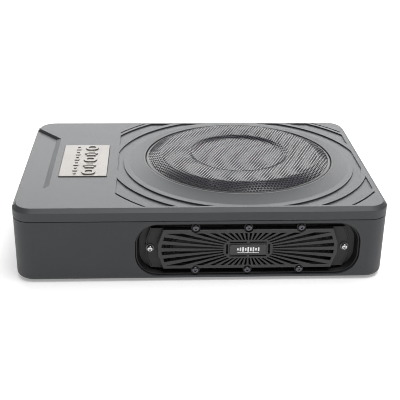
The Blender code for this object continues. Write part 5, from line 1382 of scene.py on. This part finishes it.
# Each lamp: name, place, what it points at, width and height in metres, power in watts
LAMPS = (
    ("back_softbox", (0.1, 2.1, 1.25), (0, 0, 0.05), (3.6, 1.5), 78.0),
    ("top_softbox", (0.35, -0.35, 1.8), (0, 0, 0.05), (1.5, 1.1), 34.0),
)


def build_stage():
    """Camera, table, room and lamps."""
    scene = bpy.context.scene
    data = bpy.data.cameras.new("camera")
    data.lens = CAMERA_LENS
    data.sensor_width = SENSOR_WIDTH
    data.clip_start = 0.01
    camera = bpy.data.objects.new("camera", data)
    scene.collection.objects.link(camera)
    flat = math.cos(CAMERA_PITCH)
    forward = Vector((math.sin(CAMERA_YAW) * flat, math.cos(CAMERA_YAW) * flat, -math.sin(CAMERA_PITCH)))
    right = Vector((math.cos(CAMERA_YAW), -math.sin(CAMERA_YAW), 0))
    up = right.cross(forward)
    leaned = right * math.cos(CAMERA_ROLL) + up * math.sin(CAMERA_ROLL)
    raised = up * math.cos(CAMERA_ROLL) - right * math.sin(CAMERA_ROLL)
    turn = Matrix((leaned, raised, -forward)).transposed().to_4x4()
    camera.matrix_world = Matrix.Translation(CAMERA_AT) @ turn
    scene.camera = camera

    # Opal acrylic table lit from below: it stays white under the object and keeps only a faint soft shadow.
    material, tree, place, shader = surface("opal_acrylic_table", 0.9)
    grain(tree, place, shader, srgb("e0e0e0"), 0.0, 20 * MM, 0.0)
    shader.inputs["Emission Color"].default_value = (1, 1, 1, 1)
    shader.inputs["Emission Strength"].default_value = TABLE_GLOW
    floor = new_object("floor", block(12, 12, -0.02, 0))
    floor.data.materials.append(material)

    world = bpy.data.worlds.new("studio")
    world.use_nodes = True
    world.node_tree.nodes["Background"].inputs["Color"].default_value = (1, 1, 1, 1)
    world.node_tree.nodes["Background"].inputs["Strength"].default_value = ROOM_LIGHT
    scene.world = world
    for name, spot, aim, size, power in LAMPS:
        light = bpy.data.lights.new(name, "AREA")
        light.shape = "RECTANGLE"
        light.size, light.size_y = size
        light.energy = power
        lamp = bpy.data.objects.new(name, light)
        scene.collection.objects.link(lamp)
        direction = Vector(aim) - Vector(spot)
        facing = direction.to_track_quat("-Z", "Y").to_matrix().to_4x4()
        lamp.matrix_world = Matrix.Translation(spot) @ facing
    # A sharp lens: the fine mesh keeps its contrast.
    scene.cycles.filter_width = 1.0
    scene.view_settings.view_transform = "Standard"
    scene.view_settings.look = "None"


# ---------------------------------------------------------------- operators


class SUBWOOFER_OT_cover(bpy.types.Operator):
    """Build the cast cover with its rings, bezel, scoop and plate pocket"""

    bl_idname = "subwoofer.cover"
    bl_label = "Cover"

    def execute(self, context):
        build_cover()
        return {"FINISHED"}


class SUBWOOFER_OT_tub(bpy.types.Operator):
    """Build the moulded tub, its rubber feet and the cover's screws"""

    bl_idname = "subwoofer.tub"
    bl_label = "Tub"

    def execute(self, context):
        build_tub()
        build_underside()
        return {"FINISHED"}


class SUBWOOFER_OT_grille(bpy.types.Operator):
    """Build the punched dome over the driver"""

    bl_idname = "subwoofer.grille"
    bl_label = "Speaker grille"

    def execute(self, context):
        build_speaker_grille()
        return {"FINISHED"}


class SUBWOOFER_OT_plate(bpy.types.Operator):
    """Build the brushed plate and its relief"""

    bl_idname = "subwoofer.plate"
    bl_label = "Name plate"

    def execute(self, context):
        build_name_plate()
        return {"FINISHED"}


class SUBWOOFER_OT_window(bpy.types.Operator):
    """Build the front window: frame, slotted cover, badge, screws and bolts"""

    bl_idname = "subwoofer.window"
    bl_label = "Front window"

    def execute(self, context):
        build_radiator_frame()
        build_slotted_cover()
        build_emblem()
        build_fasteners()
        return {"FINISHED"}


class SUBWOOFER_OT_bay(bpy.types.Operator):
    """Build the control panel and all that is on it"""

    bl_idname = "subwoofer.bay"
    bl_label = "Control bay"

    def execute(self, context):
        build_control_panel()
        build_sockets()
        build_fuse()
        build_rca_jacks()
        build_knobs()
        build_switch_and_lamp()
        return {"FINISHED"}


class SUBWOOFER_OT_kept(bpy.types.Operator):
    """Give the carried-over pieces their finishes"""

    bl_idname = "subwoofer.kept"
    bl_label = "Inner pieces"

    def execute(self, context):
        dress_kept_pieces()
        return {"FINISHED"}


class SUBWOOFER_OT_stage(bpy.types.Operator):
    """Build the camera, the table and the lights"""

    bl_idname = "subwoofer.stage"
    bl_label = "Stage"

    def execute(self, context):
        build_stage()
        return {"FINISHED"}


OPERATORS = (
    SUBWOOFER_OT_cover,
    SUBWOOFER_OT_tub,
    SUBWOOFER_OT_grille,
    SUBWOOFER_OT_plate,
    SUBWOOFER_OT_window,
    SUBWOOFER_OT_bay,
    SUBWOOFER_OT_kept,
    SUBWOOFER_OT_stage,
)


class SUBWOOFER_PT_panel(bpy.types.Panel):
    """Lists the build steps with their sizes and colours"""

    bl_label = "Subwoofer"
    bl_space_type = "VIEW_3D"
    bl_region_type = "UI"
    bl_category = "Subwoofer"

    def draw(self, context):
        for group in (context.scene.subwoofer_sizes, context.scene.subwoofer_colours):
            for name in group.__annotations__:
                self.layout.prop(group, name)
        for step in OPERATORS:
            self.layout.operator(step.bl_idname)


CLASSES = (SubwooferSizes, SubwooferColours, *OPERATORS, SUBWOOFER_PT_panel)


def register():
    for item in CLASSES:
        bpy.utils.register_class(item)
    bpy.types.Scene.subwoofer_sizes = PointerProperty(type=SubwooferSizes)
    bpy.types.Scene.subwoofer_colours = PointerProperty(type=SubwooferColours)


def unregister():
    del bpy.types.Scene.subwoofer_colours
    del bpy.types.Scene.subwoofer_sizes
    for item in reversed(CLASSES):
        bpy.utils.unregister_class(item)


def main():
    register()
    bpy.ops.subwoofer.cover()
    bpy.ops.subwoofer.tub()
    bpy.ops.subwoofer.grille()
    bpy.ops.subwoofer.plate()
    bpy.ops.subwoofer.window()
    bpy.ops.subwoofer.bay()
    bpy.ops.subwoofer.kept()
    bpy.ops.subwoofer.stage()


if __name__ == "__main__":
    main()
